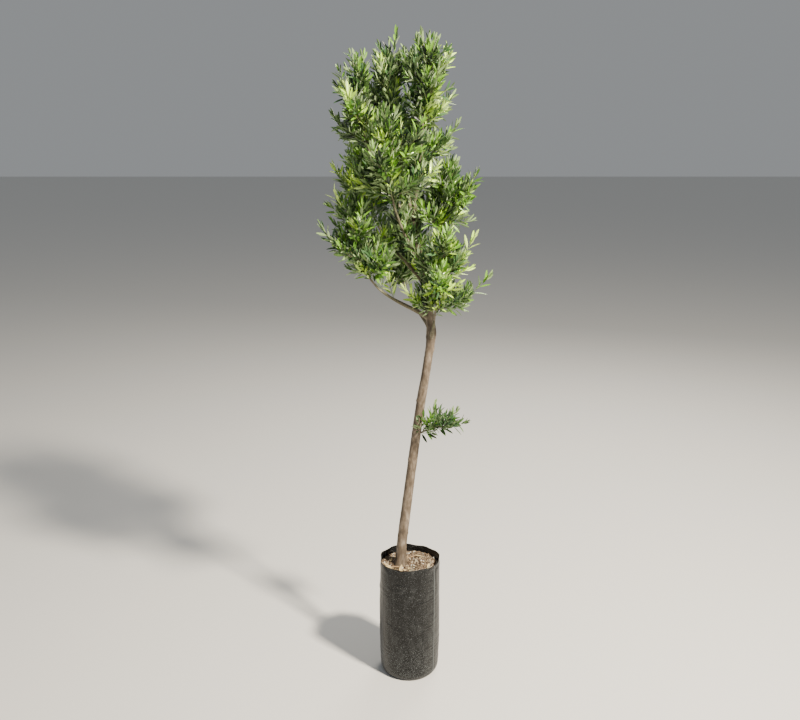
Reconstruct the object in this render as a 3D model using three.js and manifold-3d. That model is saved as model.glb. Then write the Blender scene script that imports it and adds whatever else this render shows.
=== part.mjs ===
// A young olive tree in a tall black grow bag.
// Millimetres, +Z up. The origin is the centre of the bag's flat underside, +X is to the
// right and -Y to the front. Heights on the tree are measured from the top of the soil.

import * as THREE from 'three';
import { mergeVertices } from 'three/addons/utils/BufferGeometryUtils.js';
import Module from 'manifold-3d';

const wasm = await Module();
wasm.setup();

// Driving dimensions of the bag and its soil
const bagHeight = 450;
const bagRadius = 108;
const bagBelly = 3;
const bagFootRound = 11;
const bagFootRise = 9;
const bagWall = 2;
const rimAboveSoil = 30;
const bagSides = 30;
const footRing = 5;
const rimBand = 8;

// The gap between two pieces that touch
const seat = 0.3;

// Driving dimensions of the soil's top: the depth of its dips, the layer that they move, its
// lumps in radians a millimetre, and how far from the trunk and the film it stays level
const soilDip = 3.5;
const soilSkin = 20;
const soilLumps = { across: 0.07, back: 0.09 };
const levelRoundTrunk = { from: 30, to: 75 };
const levelAtFilm = { from: 8, to: 20 };

// Soft folds of the film, and the wave of its edge: how many go round, where they start, how deep
const wallFold = { count: 3, start: 0.4, depth: 0.006 };
const crossFold = { count: 5, start: 2, depth: 0.005 };
const rimFold = { count: 7, start: 1, depth: 0.018 };
const rimWave = { count: 4, start: 0.8, depth: 4 };

// Driving dimensions of the trunk
const forkHeight = 940;
const footRadius = 18.5;
const forkRadius = 14.4;
const footLeftOfCentre = 35;
const rootFlare = 6;
const flareRise = 28;
const rootLobes = { count: 3, start: 0.6, depth: 0.35 };
const knotHeight = 872;
const knotSwell = 2.4;
const knotSpread = 26;

// Driving dimensions of the crown and its limbs
const treeHeight = 1870;
const axisAtFork = 40;
const axisAtTop = -40;
const topWide = 135;
const topTall = 265;
const leaderInTrunk = 12;
const forkRoom = 10;
const leaderBase = 13.4;
const leaderTip = 4.2;
const boughsInTier = 3;
const rootStep = 36;
const boughTip = 3.4;
const boughSwelling = 1.2;
const swellingFade = 14;
const boughStart = 0.36;
const boughUpturn = 0.25;
const boughLift = 0.1;
const boughEntry = 5;
const deepestEntry = 0.86;
const shallowestEntry = 0.3;
const entryStep = 0.02;
const entryInward = 0.25;
const firstBearing = 0.86;
const goldenTurn = 0.382;
const bearingScatter = 0.1;
const leastReach = 0.9;
const reachScatter = 0.2;
const lowestMass = 1105;
const massStep = 65;
const massScatter = 30;
const limbClearance = 1.2;
const borderClearance = 0.4;

// Driving dimensions of the leaves, each of which stands for a spray
const leafLength = 98;
const leafWidth = 30;
const leafThickness = 3;
const leafBroadest = 0.46;
const leafSunk = 1;
const leafStalk = 9;
const leafAngles = [38, 26, 18];
const smallLeaf = 0.6;
const stemLeaf = 0.95;
const stemLastLeaf = 1.05;
const pairSpacing = 30;
const outerPair = 0.88;
const innerPair = 0.22;
const pairShrink = 0.06;

// Driving dimensions of a mass's stem, and of its side twigs at the stem's foot and at its top.
// A run goes outwards and a rise goes up, both as shares of a twig's length.
const stemSideways = 0.2;
const stemTop = 0.55;
const stemBend = 0.45;
const stemSteps = 4;
const nodeSpacing = 56;
const firstNode = 0.75;
const pastLastNode = 0.25;
const lastStemPair = 0.96;
const twigRoot = 3.2;
const twigTip = 2.4;
const twigSteps = 1;
const twigRun = [0.86, 0.58];
const twigRise = [0.38, 0.8];
const bendRun = 0.65;
const bendRise = 0.4;
const twigSwing = 0.4;
const shortestTwig = 0.55;
const twigScatter = 0.35;
const twigShares = [1, 0.8, 0.6, 0.4, 0.25];

// Driving dimensions of the leafy shoot low on the trunk
const shootHeight = 500;
const shootReach = 120;
const shootHeading = new THREE.Vector3(0.82, -0.42, 0.38).normalize();
const shootLength = 1.2;
const shootBend = 0.55;
const shootLift = 0.12;
const shootRoll = 0.4;
const shootLeaf = 0.72;

const soilTop = bagHeight - rimAboveSoil;
const turn = 2 * Math.PI;
const up = new THREE.Vector3(0, 0, 1);

// Tiers of boughs: the height of the lowest root on the trunk or leader, and the radius there.
// Then, for the foliage, its middle's distance out, half width and half height.
const tiers = [
  { name: 'low', root: 850, base: 8.4, reach: 138, wide: 170, tall: 205 },
  { name: 'middle', root: 1000, base: 7.6, reach: 138, wide: 174, tall: 235 },
  { name: 'high', root: 1180, base: 6.4, reach: 114, wide: 154, tall: 240 },
];

const bark = new THREE.MeshStandardMaterial({ color: '#7a6b58', roughness: 0.9, metalness: 0 });
const film = new THREE.MeshStandardMaterial({ color: '#1b1c1e', roughness: 0.55, metalness: 0 });
const mix = new THREE.MeshStandardMaterial({ color: '#5a4a3a', roughness: 1, metalness: 0 });
const leafGreen = new THREE.MeshStandardMaterial({ color: '#7d9356', roughness: 0.6, metalness: 0 });

const tree = new THREE.Group();

// A number from 0 to 1 that looks random and is the same on every run.
function chance(mass, twig, use) {
  const wave = Math.sin(mass * 12.99 + twig * 78.23 + use * 37.72) * 43758.5;
  return wave - Math.floor(wave);
}

// A point of the tree, from its place right of the foot, behind it and above the soil.
function treePoint(right, back, height) {
  return new THREE.Vector3(right - footLeftOfCentre, back, soilTop + height);
}

// A closed geometry as a solid, its shared corners merged.
function toSolid(geometry) {
  geometry.deleteAttribute('normal');
  geometry.deleteAttribute('uv');
  const merged = mergeVertices(geometry, 1e-4);
  const corners = merged.getIndex().array;
  const kept = [];
  for (let i = 0; i < corners.length; i += 3) {
    const [a, b, c] = corners.slice(i, i + 3);
    if (a !== b && b !== c && c !== a) kept.push(a, b, c);
  }
  return new wasm.Manifold(new wasm.Mesh({
    numProp: 3,
    vertProperties: merged.getAttribute('position').array,
    triVerts: new Uint32Array(kept),
  }));
}

// A named piece of the tree, made from a solid: its largest body, without any sealed hollow.
function addPiece(name, solid, material) {
  const bodies = solid.decompose();
  bodies.sort((a, b) => b.volume() - a.volume());
  const mesh = bodies[0].getMesh();
  const geometry = new THREE.BufferGeometry();
  geometry.setAttribute('position', new THREE.BufferAttribute(mesh.vertProperties, 3));
  geometry.setIndex(new THREE.BufferAttribute(mesh.triVerts, 1));
  geometry.computeVertexNormals();
  const piece = new THREE.Mesh(geometry, material);
  piece.name = name;
  tree.add(piece);
}

// Moves every corner of a geometry to where place() puts it.
function moveCorners(geometry, place) {
  const corners = geometry.getAttribute('position');
  const corner = new THREE.Vector3();
  for (let i = 0; i < corners.count; i += 1) {
    corner.fromBufferAttribute(corners, i);
    place(corner);
    corners.setXYZ(i, corner.x, corner.y, corner.z);
  }
  return geometry;
}

// The bag's outer radius: straight, with a slight belly, and drawn in round the foot.
function bagOuter(height) {
  const belly = bagBelly * Math.sin((Math.PI * height) / bagHeight);
  return bagRadius + belly - bagFootRound * Math.exp(-height / bagFootRise);
}

// The heights of the bag's rings, which its soil shares, and the radii of the rings of its top.
const bagRings = [14, 34, 110, 200, 290, 370, soilTop];
const soilRings = [88, 66, 44, 22, 0];

// A wave that goes round the bag a whole number of times.
function wave({ count, start }, angle) {
  return Math.sin(count * angle + start);
}

// A turned piece of the bag: its profile is turned round the middle, then pushed in and out by
// soft upright folds, which deepen in the free film above the soil. Its edge rises and falls.
function turned(profile) {
  const geometry = new THREE.LatheGeometry(profile.map(([r, z]) => new THREE.Vector2(r, z)), bagSides);
  geometry.rotateX(Math.PI / 2);
  return moveCorners(geometry, (corner) => {
    const angle = Math.atan2(corner.y, corner.x);
    const nearRim = THREE.MathUtils.smoothstep(corner.z, soilTop, bagHeight);
    const folds = wallFold.depth * wave(wallFold, angle) + crossFold.depth * wave(crossFold, angle);
    const size = 1 + folds + rimFold.depth * nearRim * wave(rimFold, angle);
    const rise = rimWave.depth * nearRim * (wave(rimWave, angle) - 1) / 2;
    corner.set(corner.x * size, corner.y * size, corner.z + rise);
  });
}

function makeBag() {
  const rings = [footRing, ...bagRings, bagHeight - rimBand, bagHeight];
  const outside = rings.map((z) => [bagOuter(z), z]);
  const inside = rings.map((z) => [bagOuter(z) - bagWall, z]).reverse();
  const foot = [bagOuter(0), 0];
  const floor = [bagOuter(0) - bagWall, bagWall];
  return toSolid(turned([[0, 0], foot, ...outside, ...inside, floor, [0, bagWall]]));
}

// The soil fills the bag to below its rim. Its top dips gently in places, but not at the trunk
// and not where it meets the film.
function makeSoil() {
  const base = bagWall + seat;
  const wall = [footRing, ...bagRings].map((z) => [bagOuter(z) - base, z]);
  const top = soilRings.map((r) => [r, soilTop]);
  const body = turned([[0, base], [bagOuter(0) - base, base], ...wall, ...top]);
  const foot = treePoint(0, 0, 0);
  return toSolid(moveCorners(body, (corner) => {
    if (corner.z < soilTop - soilSkin) return;
    const fromFoot = Math.hypot(corner.x - foot.x, corner.y - foot.y);
    const fromFilm = bagRadius - Math.hypot(corner.x, corner.y);
    const lumps = 1 + Math.sin(corner.x * soilLumps.across + 1) * Math.cos(corner.y * soilLumps.back);
    const atTrunk = THREE.MathUtils.smoothstep(fromFoot, levelRoundTrunk.from, levelRoundTrunk.to);
    const atFilm = THREE.MathUtils.smoothstep(fromFilm, levelAtFilm.from, levelAtFilm.to);
    corner.z -= lumps * (soilDip * atTrunk) * atFilm;
  }));
}

// A limb: a closed cylinder whose rings are moved on to a curve, each with its own radius.
// Level rings stay flat, as a trunk's cut foot does. Others stand square to the curve.
// grown makes it larger all over by that much, for cutting a seat in a neighbour.
function limb({ line, radius, sides, steps, level = false, bunch = 1 }, grown = 0) {
  const frames = line.computeFrenetFrames(steps, false);
  const geometry = new THREE.CylinderGeometry(1, 1, 1, sides, steps);
  return toSolid(moveCorners(geometry, (corner) => {
    const ring = Math.round((corner.y + 0.5) * steps);
    const along = (ring / steps) ** bunch;
    const size = radius(along, Math.atan2(-corner.z, corner.x)) + grown;
    const across = level ? new THREE.Vector3(1, 0, 0) : frames.binormals[ring];
    const over = level ? new THREE.Vector3(0, -1, 0) : frames.normals[ring];
    const ahead = level ? up : frames.tangents[ring];
    const past = ring === 0 ? -grown : ring === steps ? grown : 0;
    const [x, z] = [corner.x * size, corner.z * size];
    corner.copy(line.getPointAt(along)).addScaledVector(ahead, past);
    corner.addScaledVector(across, x).addScaledVector(over, z);
  }));
}

// A radius that goes evenly from one value to another, with a small swelling where it starts.
function taper(from, to, swelling = 0) {
  return (along) => THREE.MathUtils.lerp(from, to, along) + swelling * Math.exp(-along * swellingFade);
}

// The trunk leans to the right, curves a little, and kinks back just under its fork.
const trunk = {
  line: new THREE.CatmullRomCurve3([
    treePoint(0, 0, seat),
    treePoint(11, 3, 120),
    treePoint(41, 8, 367),
    treePoint(71, 4, 608),
    treePoint(94, -3, 759),
    treePoint(107, 0, knotHeight),
    treePoint(100, 5, forkHeight),
  ]),
  radius: (along, angle) => {
    const height = along * forkHeight;
    const lobes = 1 + rootLobes.depth * Math.cos(rootLobes.count * angle + rootLobes.start);
    const knot = knotSwell * Math.exp(-(((height - knotHeight) / knotSpread) ** 2));
    return THREE.MathUtils.lerp(footRadius, forkRadius, along) + knot
      + rootFlare * Math.exp(-height / flareRise) * lobes;
  },
  sides: 14,
  steps: 24,
  level: true,
  bunch: 1.35,
};

// The point of a limb's line at a height above the soil, found by halving the line many times.
function pointAtHeight(line, height) {
  const halvings = 20;
  const level = soilTop + height;
  let [low, high] = [0, 1];
  for (let halving = 0; halving < halvings; halving += 1) {
    const middle = (low + high) / 2;
    if (line.getPointAt(middle).z < level) low = middle;
    else high = middle;
  }
  return line.getPointAt(low);
}

// The line that the crown stands round, which leans back over the foot as it rises.
function crownAxis(height) {
  const along = (height - forkHeight) / (treeHeight - forkHeight);
  return treePoint(THREE.MathUtils.lerp(axisAtFork, axisAtTop, along), 0, height);
}

// A foliage mass's own space: an egg of a half width and a half height round its middle.
function makeMass(name, number, centre, wide, tall) {
  return { name, number, centre, radii: new THREE.Vector3(wide, wide, tall) };
}

// The masses stand round the crown's axis in a rising spiral. From one to the next the bearing
// goes on by the golden share of a turn, so that none stands right above another.
const tierMasses = tiers.flatMap((tier, row) => Array.from({ length: boughsInTier }, (_, place) => {
  const number = 4 * row + place;
  const count = boughsInTier * row + place;
  const stray = bearingScatter * (chance(number, 1, 1) - 0.5);
  const bearing = turn * (firstBearing + goldenTurn * count + stray);
  const outward = new THREE.Vector3(Math.cos(bearing), Math.sin(bearing), 0);
  const scatter = massScatter * (chance(number, 2, 1) - 0.5);
  const centre = crownAxis(lowestMass + massStep * count + scatter);
  centre.addScaledVector(outward, tier.reach * (leastReach + reachScatter * chance(number, 3, 1)));
  const mass = makeMass(`foliage_${tier.name}_${place + 1}`, number, centre, tier.wide, tier.tall);
  return { ...mass, tier, place, outward };
}));

// The leader's own foliage makes the top of the tree. Low on the trunk one small leafy shoot
// stands out to the right and front.
const topMass = makeMass('foliage_top', 20, crownAxis(treeHeight - topTall), topWide, topTall);
const shootRoot = pointAtHeight(trunk.line, shootHeight);
const shootMiddle = shootRoot.clone().addScaledVector(shootHeading, shootReach);
const shootMass = makeMass('foliage_shoot', 21, shootMiddle, shootReach, shootReach);
const masses = [...tierMasses, topMass, shootMass];

// Between two masses stands a flat border, nearer to the smaller one.
for (const mass of masses) {
  mass.borders = masses.filter((other) => other !== mass).map((other) => {
    const between = other.centre.clone().sub(mass.centre);
    const gap = between.length();
    between.normalize();
    const half = 1 / between.clone().divide(mass.radii).length();
    const otherHalf = 1 / between.clone().divide(other.radii).length();
    const away = (gap * half) / (half + otherHalf) - borderClearance;
    const point = mass.centre.clone().addScaledVector(between, away);
    return new THREE.Plane().setFromNormalAndCoplanarPoint(between.negate(), point);
  });
}

// True where a point lies in a mass's own space, at least a distance from its borders.
function isInside(mass, point, margin) {
  const place = point.clone().sub(mass.centre).divide(mass.radii);
  return place.lengthSq() < 1 && mass.borders.every((border) => border.distanceToPoint(point) > margin);
}

// The lowest point of a mass's space under its middle, a little towards the crown's axis.
function entry(mass, inward) {
  const down = inward.clone().multiplyScalar(entryInward * mass.radii.x);
  down.addScaledVector(up, -mass.radii.z);
  const at = (share) => mass.centre.clone().addScaledVector(down, share);
  let share = deepestEntry;
  while (share > shallowestEntry && !isInside(mass, at(share), boughEntry)) share -= entryStep;
  return at(share);
}

// The leader goes on from the trunk's top, curving back over the foot, into the top foliage.
const leader = {
  line: new THREE.CatmullRomCurve3([
    treePoint(101, 5, forkHeight - leaderInTrunk),
    treePoint(92, 6, 1010),
    treePoint(62, -4, 1150),
    treePoint(32, 2, 1310),
    entry(topMass, new THREE.Vector3()),
  ]),
  radius: taper(leaderBase, leaderTip),
  sides: 9,
  steps: 12,
};

// A bough leaves its parent sloping outwards and rises more steeply into the foot of its foliage.
function makeBough({ tier, place, outward, ...mass }) {
  const root = tier.root + rootStep * place;
  const parent = root < forkHeight - forkRoom ? trunk : leader;
  const begin = pointAtHeight(parent.line, root);
  const end = entry(mass, outward.clone().negate());
  const span = end.clone().sub(begin);
  const handle1 = begin.clone().addScaledVector(span, boughStart);
  const handle2 = end.clone().addScaledVector(span, -boughUpturn);
  handle2.addScaledVector(up, -boughLift * span.length());
  return {
    name: `bough_${tier.name}_${place + 1}`,
    line: new THREE.CubicBezierCurve3(begin, handle1, handle2, end),
    radius: taper(tier.base, boughTip, boughSwelling),
    sides: 6,
    steps: 7,
  };
}

const boughs = tierMasses.map(makeBough);

// Each mass's stem goes on from its limb's tip, a hair's breadth off it, and the shoot's from
// inside the trunk, which cuts it back.
[...boughs, leader].forEach(({ line }, i) => {
  masses[i].heading = line.getTangentAt(1);
  masses[i].start = line.getPointAt(1).addScaledVector(masses[i].heading, seat);
});
shootMass.heading = shootHeading;
shootMass.start = shootRoot;

// The limbs a little larger than they are, which no twig or leaf may touch.
const limbRoom = [trunk, leader, ...boughs].map((one) => limb(one, limbClearance));

function touchesLimb(solid) {
  return limbRoom.some((room) => !room.intersect(solid).isEmpty());
}

// A twig: a three-sided limb. It ends in its own last leaf.
function twig(line, steps) {
  return limb({ line, radius: taper(twigRoot, twigTip), sides: 3, steps });
}

// A leaf's shape: an octahedron drawn out to a lance, broadest just short of its middle. It
// starts at a distance along its heading, and its width lies across that.
function leafShape(root, heading, across, from, to) {
  const along = heading.clone().normalize();
  const face = new THREE.Vector3().crossVectors(along, across).normalize();
  const side = new THREE.Vector3().crossVectors(face, along);
  return moveCorners(new THREE.OctahedronGeometry(1), (corner) => {
    const [lengthwise, wide, thick] = [corner.x, corner.y, corner.z];
    const share = Math.abs(lengthwise) < 0.5 ? leafBroadest : Math.max(lengthwise, 0);
    corner.copy(root).addScaledVector(along, THREE.MathUtils.lerp(from, to, share));
    corner.addScaledVector(side, (wide * leafWidth) / 2);
    corner.addScaledVector(face, (thick * leafThickness) / 2);
  });
}

// A leaf with its root sunk in its twig. It is made only where it lies in the mass's space and
// its blade, beyond its stalk, crosses no twig or leaf that is there.
function leaf(mass, root, heading, across, size) {
  const tip = leafLength * size;
  const whole = leafShape(root, heading, across, -leafSunk, tip);
  const corners = whole.getAttribute('position');
  for (let i = 0; i < corners.count; i += 1) {
    const corner = new THREE.Vector3().fromBufferAttribute(corners, i);
    if (corner.distanceTo(root) > leafStalk && !isInside(mass, corner, 0)) return [];
  }
  const blade = toSolid(leafShape(root, heading, across, leafStalk, tip));
  if (mass.grown.some((other) => !other.intersect(blade).isEmpty())) return [];
  const solid = toSolid(whole);
  if (touchesLimb(solid)) return [];
  mass.grown.push(blade);
  return [solid];
}

// A pair of leaves opposite each other on a twig, at an angle round it. Each stands out from
// the twig as far as it has room to.
function leafPair(mass, line, along, angle, size) {
  const root = line.getPointAt(along);
  const ahead = line.getTangentAt(along);
  const level = new THREE.Vector3().crossVectors(ahead, up).normalize();
  const first = level.applyAxisAngle(ahead, angle);
  const across = new THREE.Vector3().crossVectors(ahead, first);
  return [1, -1].flatMap((way) => {
    for (const lean of leafAngles.map(THREE.MathUtils.degToRad)) {
      const heading = ahead.clone().multiplyScalar(Math.cos(lean));
      heading.addScaledVector(first, way * Math.sin(lean));
      const made = leaf(mass, root, heading, across, size);
      if (made.length > 0) return made;
    }
    return [];
  });
}

// The leaf that ends a twig, turned about it by an angle.
function lastLeaf(mass, line, angle, size) {
  const ahead = line.getTangentAt(1);
  const level = new THREE.Vector3().crossVectors(ahead, up).normalize();
  return leaf(mass, line.getPointAt(1), ahead, level.applyAxisAngle(ahead, angle), size);
}

// A side twig leaves the stem sloping outwards and turns up, the more the nearer its rise is to 1.
// It is cut back until there is room for it and for its last leaf. Shorter twigs have smaller leaves.
function sideTwig(mass, root, outward, reach, rise) {
  const out = THREE.MathUtils.lerp(...twigRun, rise);
  const lift = THREE.MathUtils.lerp(...twigRise, rise);
  for (const share of twigShares) {
    const length = reach * share;
    const size = THREE.MathUtils.lerp(smallLeaf, 1, share);
    const bend = root.clone().addScaledVector(outward, bendRun * out * length);
    bend.addScaledVector(up, bendRise * lift * length);
    const end = root.clone().addScaledVector(outward, out * length).addScaledVector(up, lift * length);
    const line = new THREE.QuadraticBezierCurve3(root, bend, end);
    const leafTip = end.clone().addScaledVector(line.getTangentAt(1), leafLength * size);
    const inside = [bend, end, leafTip].every((point) => isInside(mass, point, twigRoot));
    if (inside && !touchesLimb(twig(line, twigSteps))) return { line, size };
  }
  return null;
}

// The leaves of a twig: a last leaf, and pairs each a quarter turn round from the next. The
// shortest twigs have one pair, at their middle.
function leavesOn(mass, line, roll, size) {
  const leaves = lastLeaf(mass, line, roll + turn / 4, size);
  const pairs = Math.max(1, Math.round(line.getLength() / pairSpacing));
  for (let pair = 0; pair < pairs; pair += 1) {
    const inward = pairs > 1 ? pair / (pairs - 1) : 0.5;
    const along = THREE.MathUtils.lerp(outerPair, innerPair, inward);
    const smaller = size * (1 - pairShrink * pair);
    leaves.push(...leafPair(mass, line, along, roll + (turn * pair) / 4, smaller));
  }
  return leaves;
}

// The trunk's shoot is one leafy twig with small leaves, bending over a little.
function growShoot(mass) {
  const tip = mass.start.clone().addScaledVector(mass.heading, shootLength * shootReach);
  const bend = mass.start.clone().lerp(tip, shootBend).addScaledVector(up, shootLift * shootReach);
  const line = new THREE.QuadraticBezierCurve3(mass.start, bend, tip);
  mass.grown = [twig(line, stemSteps)];
  const pieces = [...mass.grown, ...leavesOn(mass, line, shootRoll, shootLeaf)];
  return pieces.reduce((whole, piece) => whole.add(piece));
}

// A mass grows from one stem. At each node of the stem two side twigs stand opposite each other,
// a quarter turn on from the last pair. Each is leafy, and so is the stem between its nodes.
function growMass(mass) {
  const sideways = mass.heading.clone().setZ(0).multiplyScalar(stemSideways * mass.radii.x);
  const tip = mass.centre.clone().add(sideways).addScaledVector(up, stemTop * mass.radii.z);
  const reach = tip.distanceTo(mass.start);
  const bend = mass.start.clone().addScaledVector(mass.heading, stemBend * reach);
  const stem = new THREE.QuadraticBezierCurve3(mass.start, bend, tip);
  const nodes = Math.max(2, Math.round(stem.getLength() / nodeSpacing));
  const alongStem = (step) => (step + firstNode) / (nodes + pastLastNode);
  const twigs = [];
  for (let node = 0; node < nodes; node += 1) {
    const root = stem.getPointAt(alongStem(node));
    for (const side of [0, 1]) {
      const swing = twigSwing * (chance(mass.number, node, 3 + side) - 0.5);
      const bearing = turn * (node / 4 + side / 2) + mass.number + swing;
      const outward = new THREE.Vector3(Math.cos(bearing), Math.sin(bearing), 0);
      const spare = twigScatter * chance(mass.number, node, 5 + side);
      const length = mass.radii.x * (shortestTwig + spare);
      const made = sideTwig(mass, root, outward, length, node / (nodes - 1));
      if (made) twigs.push(made);
    }
  }
  mass.grown = [twig(stem, stemSteps), ...twigs.map(({ line }) => twig(line, twigSteps))];
  const pieces = [...mass.grown];
  twigs.forEach(({ line, size }, i) => {
    pieces.push(...leavesOn(mass, line, turn * chance(mass.number, i, 7), size));
  });
  pieces.push(...lastLeaf(mass, stem, mass.number, stemLastLeaf));
  for (let node = 0; node < nodes; node += 1) {
    const along = Math.min(alongStem(node + 0.5), lastStemPair);
    pieces.push(...leafPair(mass, stem, along, (turn * node) / 4 + mass.number, stemLeaf));
  }
  return pieces.reduce((whole, piece) => whole.add(piece));
}

// Cuts a piece back to stand a hair's breadth off each of its neighbours.
function seatedOn(solid, neighbours) {
  return neighbours.reduce((left, neighbour) => left.subtract(limb(neighbour, seat)), solid);
}

addPiece('bag', makeBag(), film);
addPiece('soil', makeSoil(), mix);
addPiece('trunk', limb(trunk), bark);
addPiece('leader', seatedOn(limb(leader), [trunk]), bark);
boughs.forEach((bough, i) => {
  addPiece(bough.name, seatedOn(limb(bough), [trunk, leader, ...boughs.slice(0, i)]), bark);
});
for (const mass of [...tierMasses, topMass]) addPiece(mass.name, growMass(mass), leafGreen);
addPiece(shootMass.name, seatedOn(growShoot(shootMass), [trunk]), leafGreen);

export default tree;
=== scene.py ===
# %% [markdown]
# # A young olive tree in a tall grow bag
#
# The tree stands in a round bag of black film that is filled with potting mix. Its trunk leans,
# kinks back and forks, and a narrow crown of upright leafy shoots stands on thin boughs. The
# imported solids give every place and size. This lesson dresses them: bark with relief, creased
# film, crumbly soil, and twigs and leaves that grow on from the limbs by the solids' own rule.

# %% The frame
import math
from itertools import product
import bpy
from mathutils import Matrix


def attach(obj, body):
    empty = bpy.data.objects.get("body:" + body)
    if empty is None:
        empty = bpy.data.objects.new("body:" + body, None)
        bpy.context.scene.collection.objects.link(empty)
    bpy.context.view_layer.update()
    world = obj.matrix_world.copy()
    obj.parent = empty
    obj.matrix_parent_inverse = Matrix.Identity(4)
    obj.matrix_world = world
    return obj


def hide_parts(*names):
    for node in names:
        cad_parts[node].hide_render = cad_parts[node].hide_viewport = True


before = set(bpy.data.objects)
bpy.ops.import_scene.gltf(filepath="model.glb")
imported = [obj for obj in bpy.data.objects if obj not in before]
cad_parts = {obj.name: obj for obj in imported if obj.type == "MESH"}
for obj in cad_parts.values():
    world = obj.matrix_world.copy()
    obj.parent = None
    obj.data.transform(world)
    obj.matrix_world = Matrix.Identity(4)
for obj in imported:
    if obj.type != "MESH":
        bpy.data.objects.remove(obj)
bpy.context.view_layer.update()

from types import SimpleNamespace

import bpy
import numpy as np

MM = 0.001
TURN = 2 * math.pi
UP = np.array([0.0, 0.0, 1.0])
print("solids in the frame:", len(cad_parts))

# %% [markdown]
# ## The camera
#
# The photograph was taken standing up, about three metres from the trunk and a metre and a half
# above the soil, so the camera looks down on the bag and level at the crown. A camera could copy
# the picture's own framing, but its edge cuts the bag. So the place is kept and the camera is
# turned to the tree, with a lens just long enough for the plant to fill the height.

# %% The camera
EYE_DISTANCE = 2.94
EYE_HEIGHT = 1.95
AIM_HEIGHT = 1.195
LENS_MM = 39.5
FOOT_X = -35 * MM


def link(thing):
    """Adds an object to the scene's own collection."""
    bpy.context.scene.collection.objects.link(thing)
    return thing


def look_at(thing, target):
    """Turns an object so that its -Z points at the target and its Y stays up."""
    way = np.array(target) - np.array(thing.location)
    thing.rotation_euler = (math.atan2(math.hypot(way[0], way[1]), -way[2]), 0.0,
                            math.atan2(-way[0], way[1]))


camera = link(bpy.data.objects.new("camera", bpy.data.cameras.new("camera")))
camera.data.lens = LENS_MM
camera.location = (FOOT_X, -EYE_DISTANCE, EYE_HEIGHT)
look_at(camera, (FOOT_X, 0.0, AIM_HEIGHT))
bpy.context.scene.camera = camera
print("camera looks down by", round(90 - math.degrees(camera.rotation_euler.x), 1), "degrees")

# %% [markdown]
# ## Colours and nodes
#
# Colours are picked as sRGB hex values, as a paint chart gives them. Blender's shaders work in
# linear light, so one function converts them. A second adds a node with its settings and its
# inputs in one call, which keeps each material short enough to read as a recipe.

# %% Colours and nodes


def colour(code):
    """Linear RGBA of a hex colour: the share / 12.92 when dark, else ((share + 0.055) / 1.055) ** 2.4."""
    shares = [int(code[i:i + 2], 16) / 255 for i in (1, 3, 5)]
    return [s / 12.92 if s <= 0.04045 else ((s + 0.055) / 1.055) ** 2.4 for s in shares] + [1.0]


def add_node(material, kind, inputs=None, stops=None, **settings):
    """Adds a node. Each input is a value, or the socket of another node, which is linked. The
    stops are a colour ramp's, as (place, hex colour)."""
    tree = material.node_tree
    made = tree.nodes.new("ShaderNode" + kind)
    for name, value in settings.items():
        setattr(made, name, value)
    for i, (place, code) in enumerate(stops or []):
        if i == len(made.color_ramp.elements):
            made.color_ramp.elements.new(place)
        made.color_ramp.elements[i].position = place
        made.color_ramp.elements[i].color = colour(code)
    for name, value in (inputs or {}).items():
        if isinstance(value, bpy.types.NodeSocket):
            tree.links.new(value, made.inputs[name])
        else:
            made.inputs[name].default_value = value
    return made


def blank_material(name):
    """A material with nodes and nothing in it."""
    material = bpy.data.materials.new(name)
    material.use_nodes = True
    material.node_tree.nodes.clear()
    return material


def finish_material(material, shader):
    """Ends a material in its surface output."""
    add_node(material, "OutputMaterial", {"Surface": shader.outputs["BSDF"]})
    return material


def plain_paint(name, code, finish):
    """A material of one plain colour, for the floor, and for things so small that their pattern
    comes from several tones lying side by side."""
    paint = blank_material(name)
    return finish_material(paint, add_node(paint, "BsdfPrincipled", {"Base Color": colour(code), **finish}))


print("white is", colour("#ffffff")[:3])

# %% [markdown]
# ## Studio
#
# The photograph is lit by a high sun from the right. A studio keeps its direction and drops some of
# its hardness: a light half a metre across stands high on the right, a large weak one fills from
# the left, and one behind picks out the edges of the leaves. The floor is plain and pale.

# %% Studio
LIGHTS = [
    dict(name="key", place=(2.3, -2.2, 4.3), size=0.45, power=800, code="#fff3de"),
    dict(name="fill", place=(-3.2, -2.6, 2.2), size=2.6, power=12, code="#eaf1ff"),
    dict(name="back", place=(1.2, 3.4, 3.8), size=1.8, power=130, code="#fff8ec"),
]
SKY_COLOUR = "#e9edf0"
SKY_STRENGTH = 0.34
FLOOR_HALF = 40.0


def soft_light(name, place, size, power, code):
    """A square area light aimed at the middle of the tree."""
    light = bpy.data.lights.new(name, "AREA")
    light.size = size
    light.energy = power
    light.color = colour(code)[:3]
    lamp = link(bpy.data.objects.new(name, light))
    lamp.location = place
    look_at(lamp, (0.0, 0.0, AIM_HEIGHT))


for light in LIGHTS:
    soft_light(**light)

world = bpy.data.worlds.new("studio")
bpy.context.scene.world = world
world.use_nodes = True
world.node_tree.nodes["Background"].inputs["Color"].default_value = colour(SKY_COLOUR)
world.node_tree.nodes["Background"].inputs["Strength"].default_value = SKY_STRENGTH

floor_mesh = bpy.data.meshes.new("floor")
floor_mesh.from_pydata([(x * FLOOR_HALF, y * FLOOR_HALF, 0.0) for x, y in
                        ((-1, -1), (1, -1), (1, 1), (-1, 1))], [], [(0, 1, 2, 3)])
floor = link(bpy.data.objects.new("floor", floor_mesh))
floor_mesh.materials.append(plain_paint("Studio floor, matt paint", "#d9d8d5", {"Roughness": 0.9}))

# %% [markdown]
# ## Surfaces from arrays
#
# Every piece here is a grid of points worked out by numpy. A grid that closes round an axis needs
# the same three things each time: quads between its rings, a fan over each end, and a mesh filled
# in one call. Noise on a lattice gives the relief of bark, film and soil.

# %% Noise
WAVES = (12.99, 78.23, 37.72)
SEED_WAVE = 5.13
STEEPNESS = 43758.5


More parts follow.
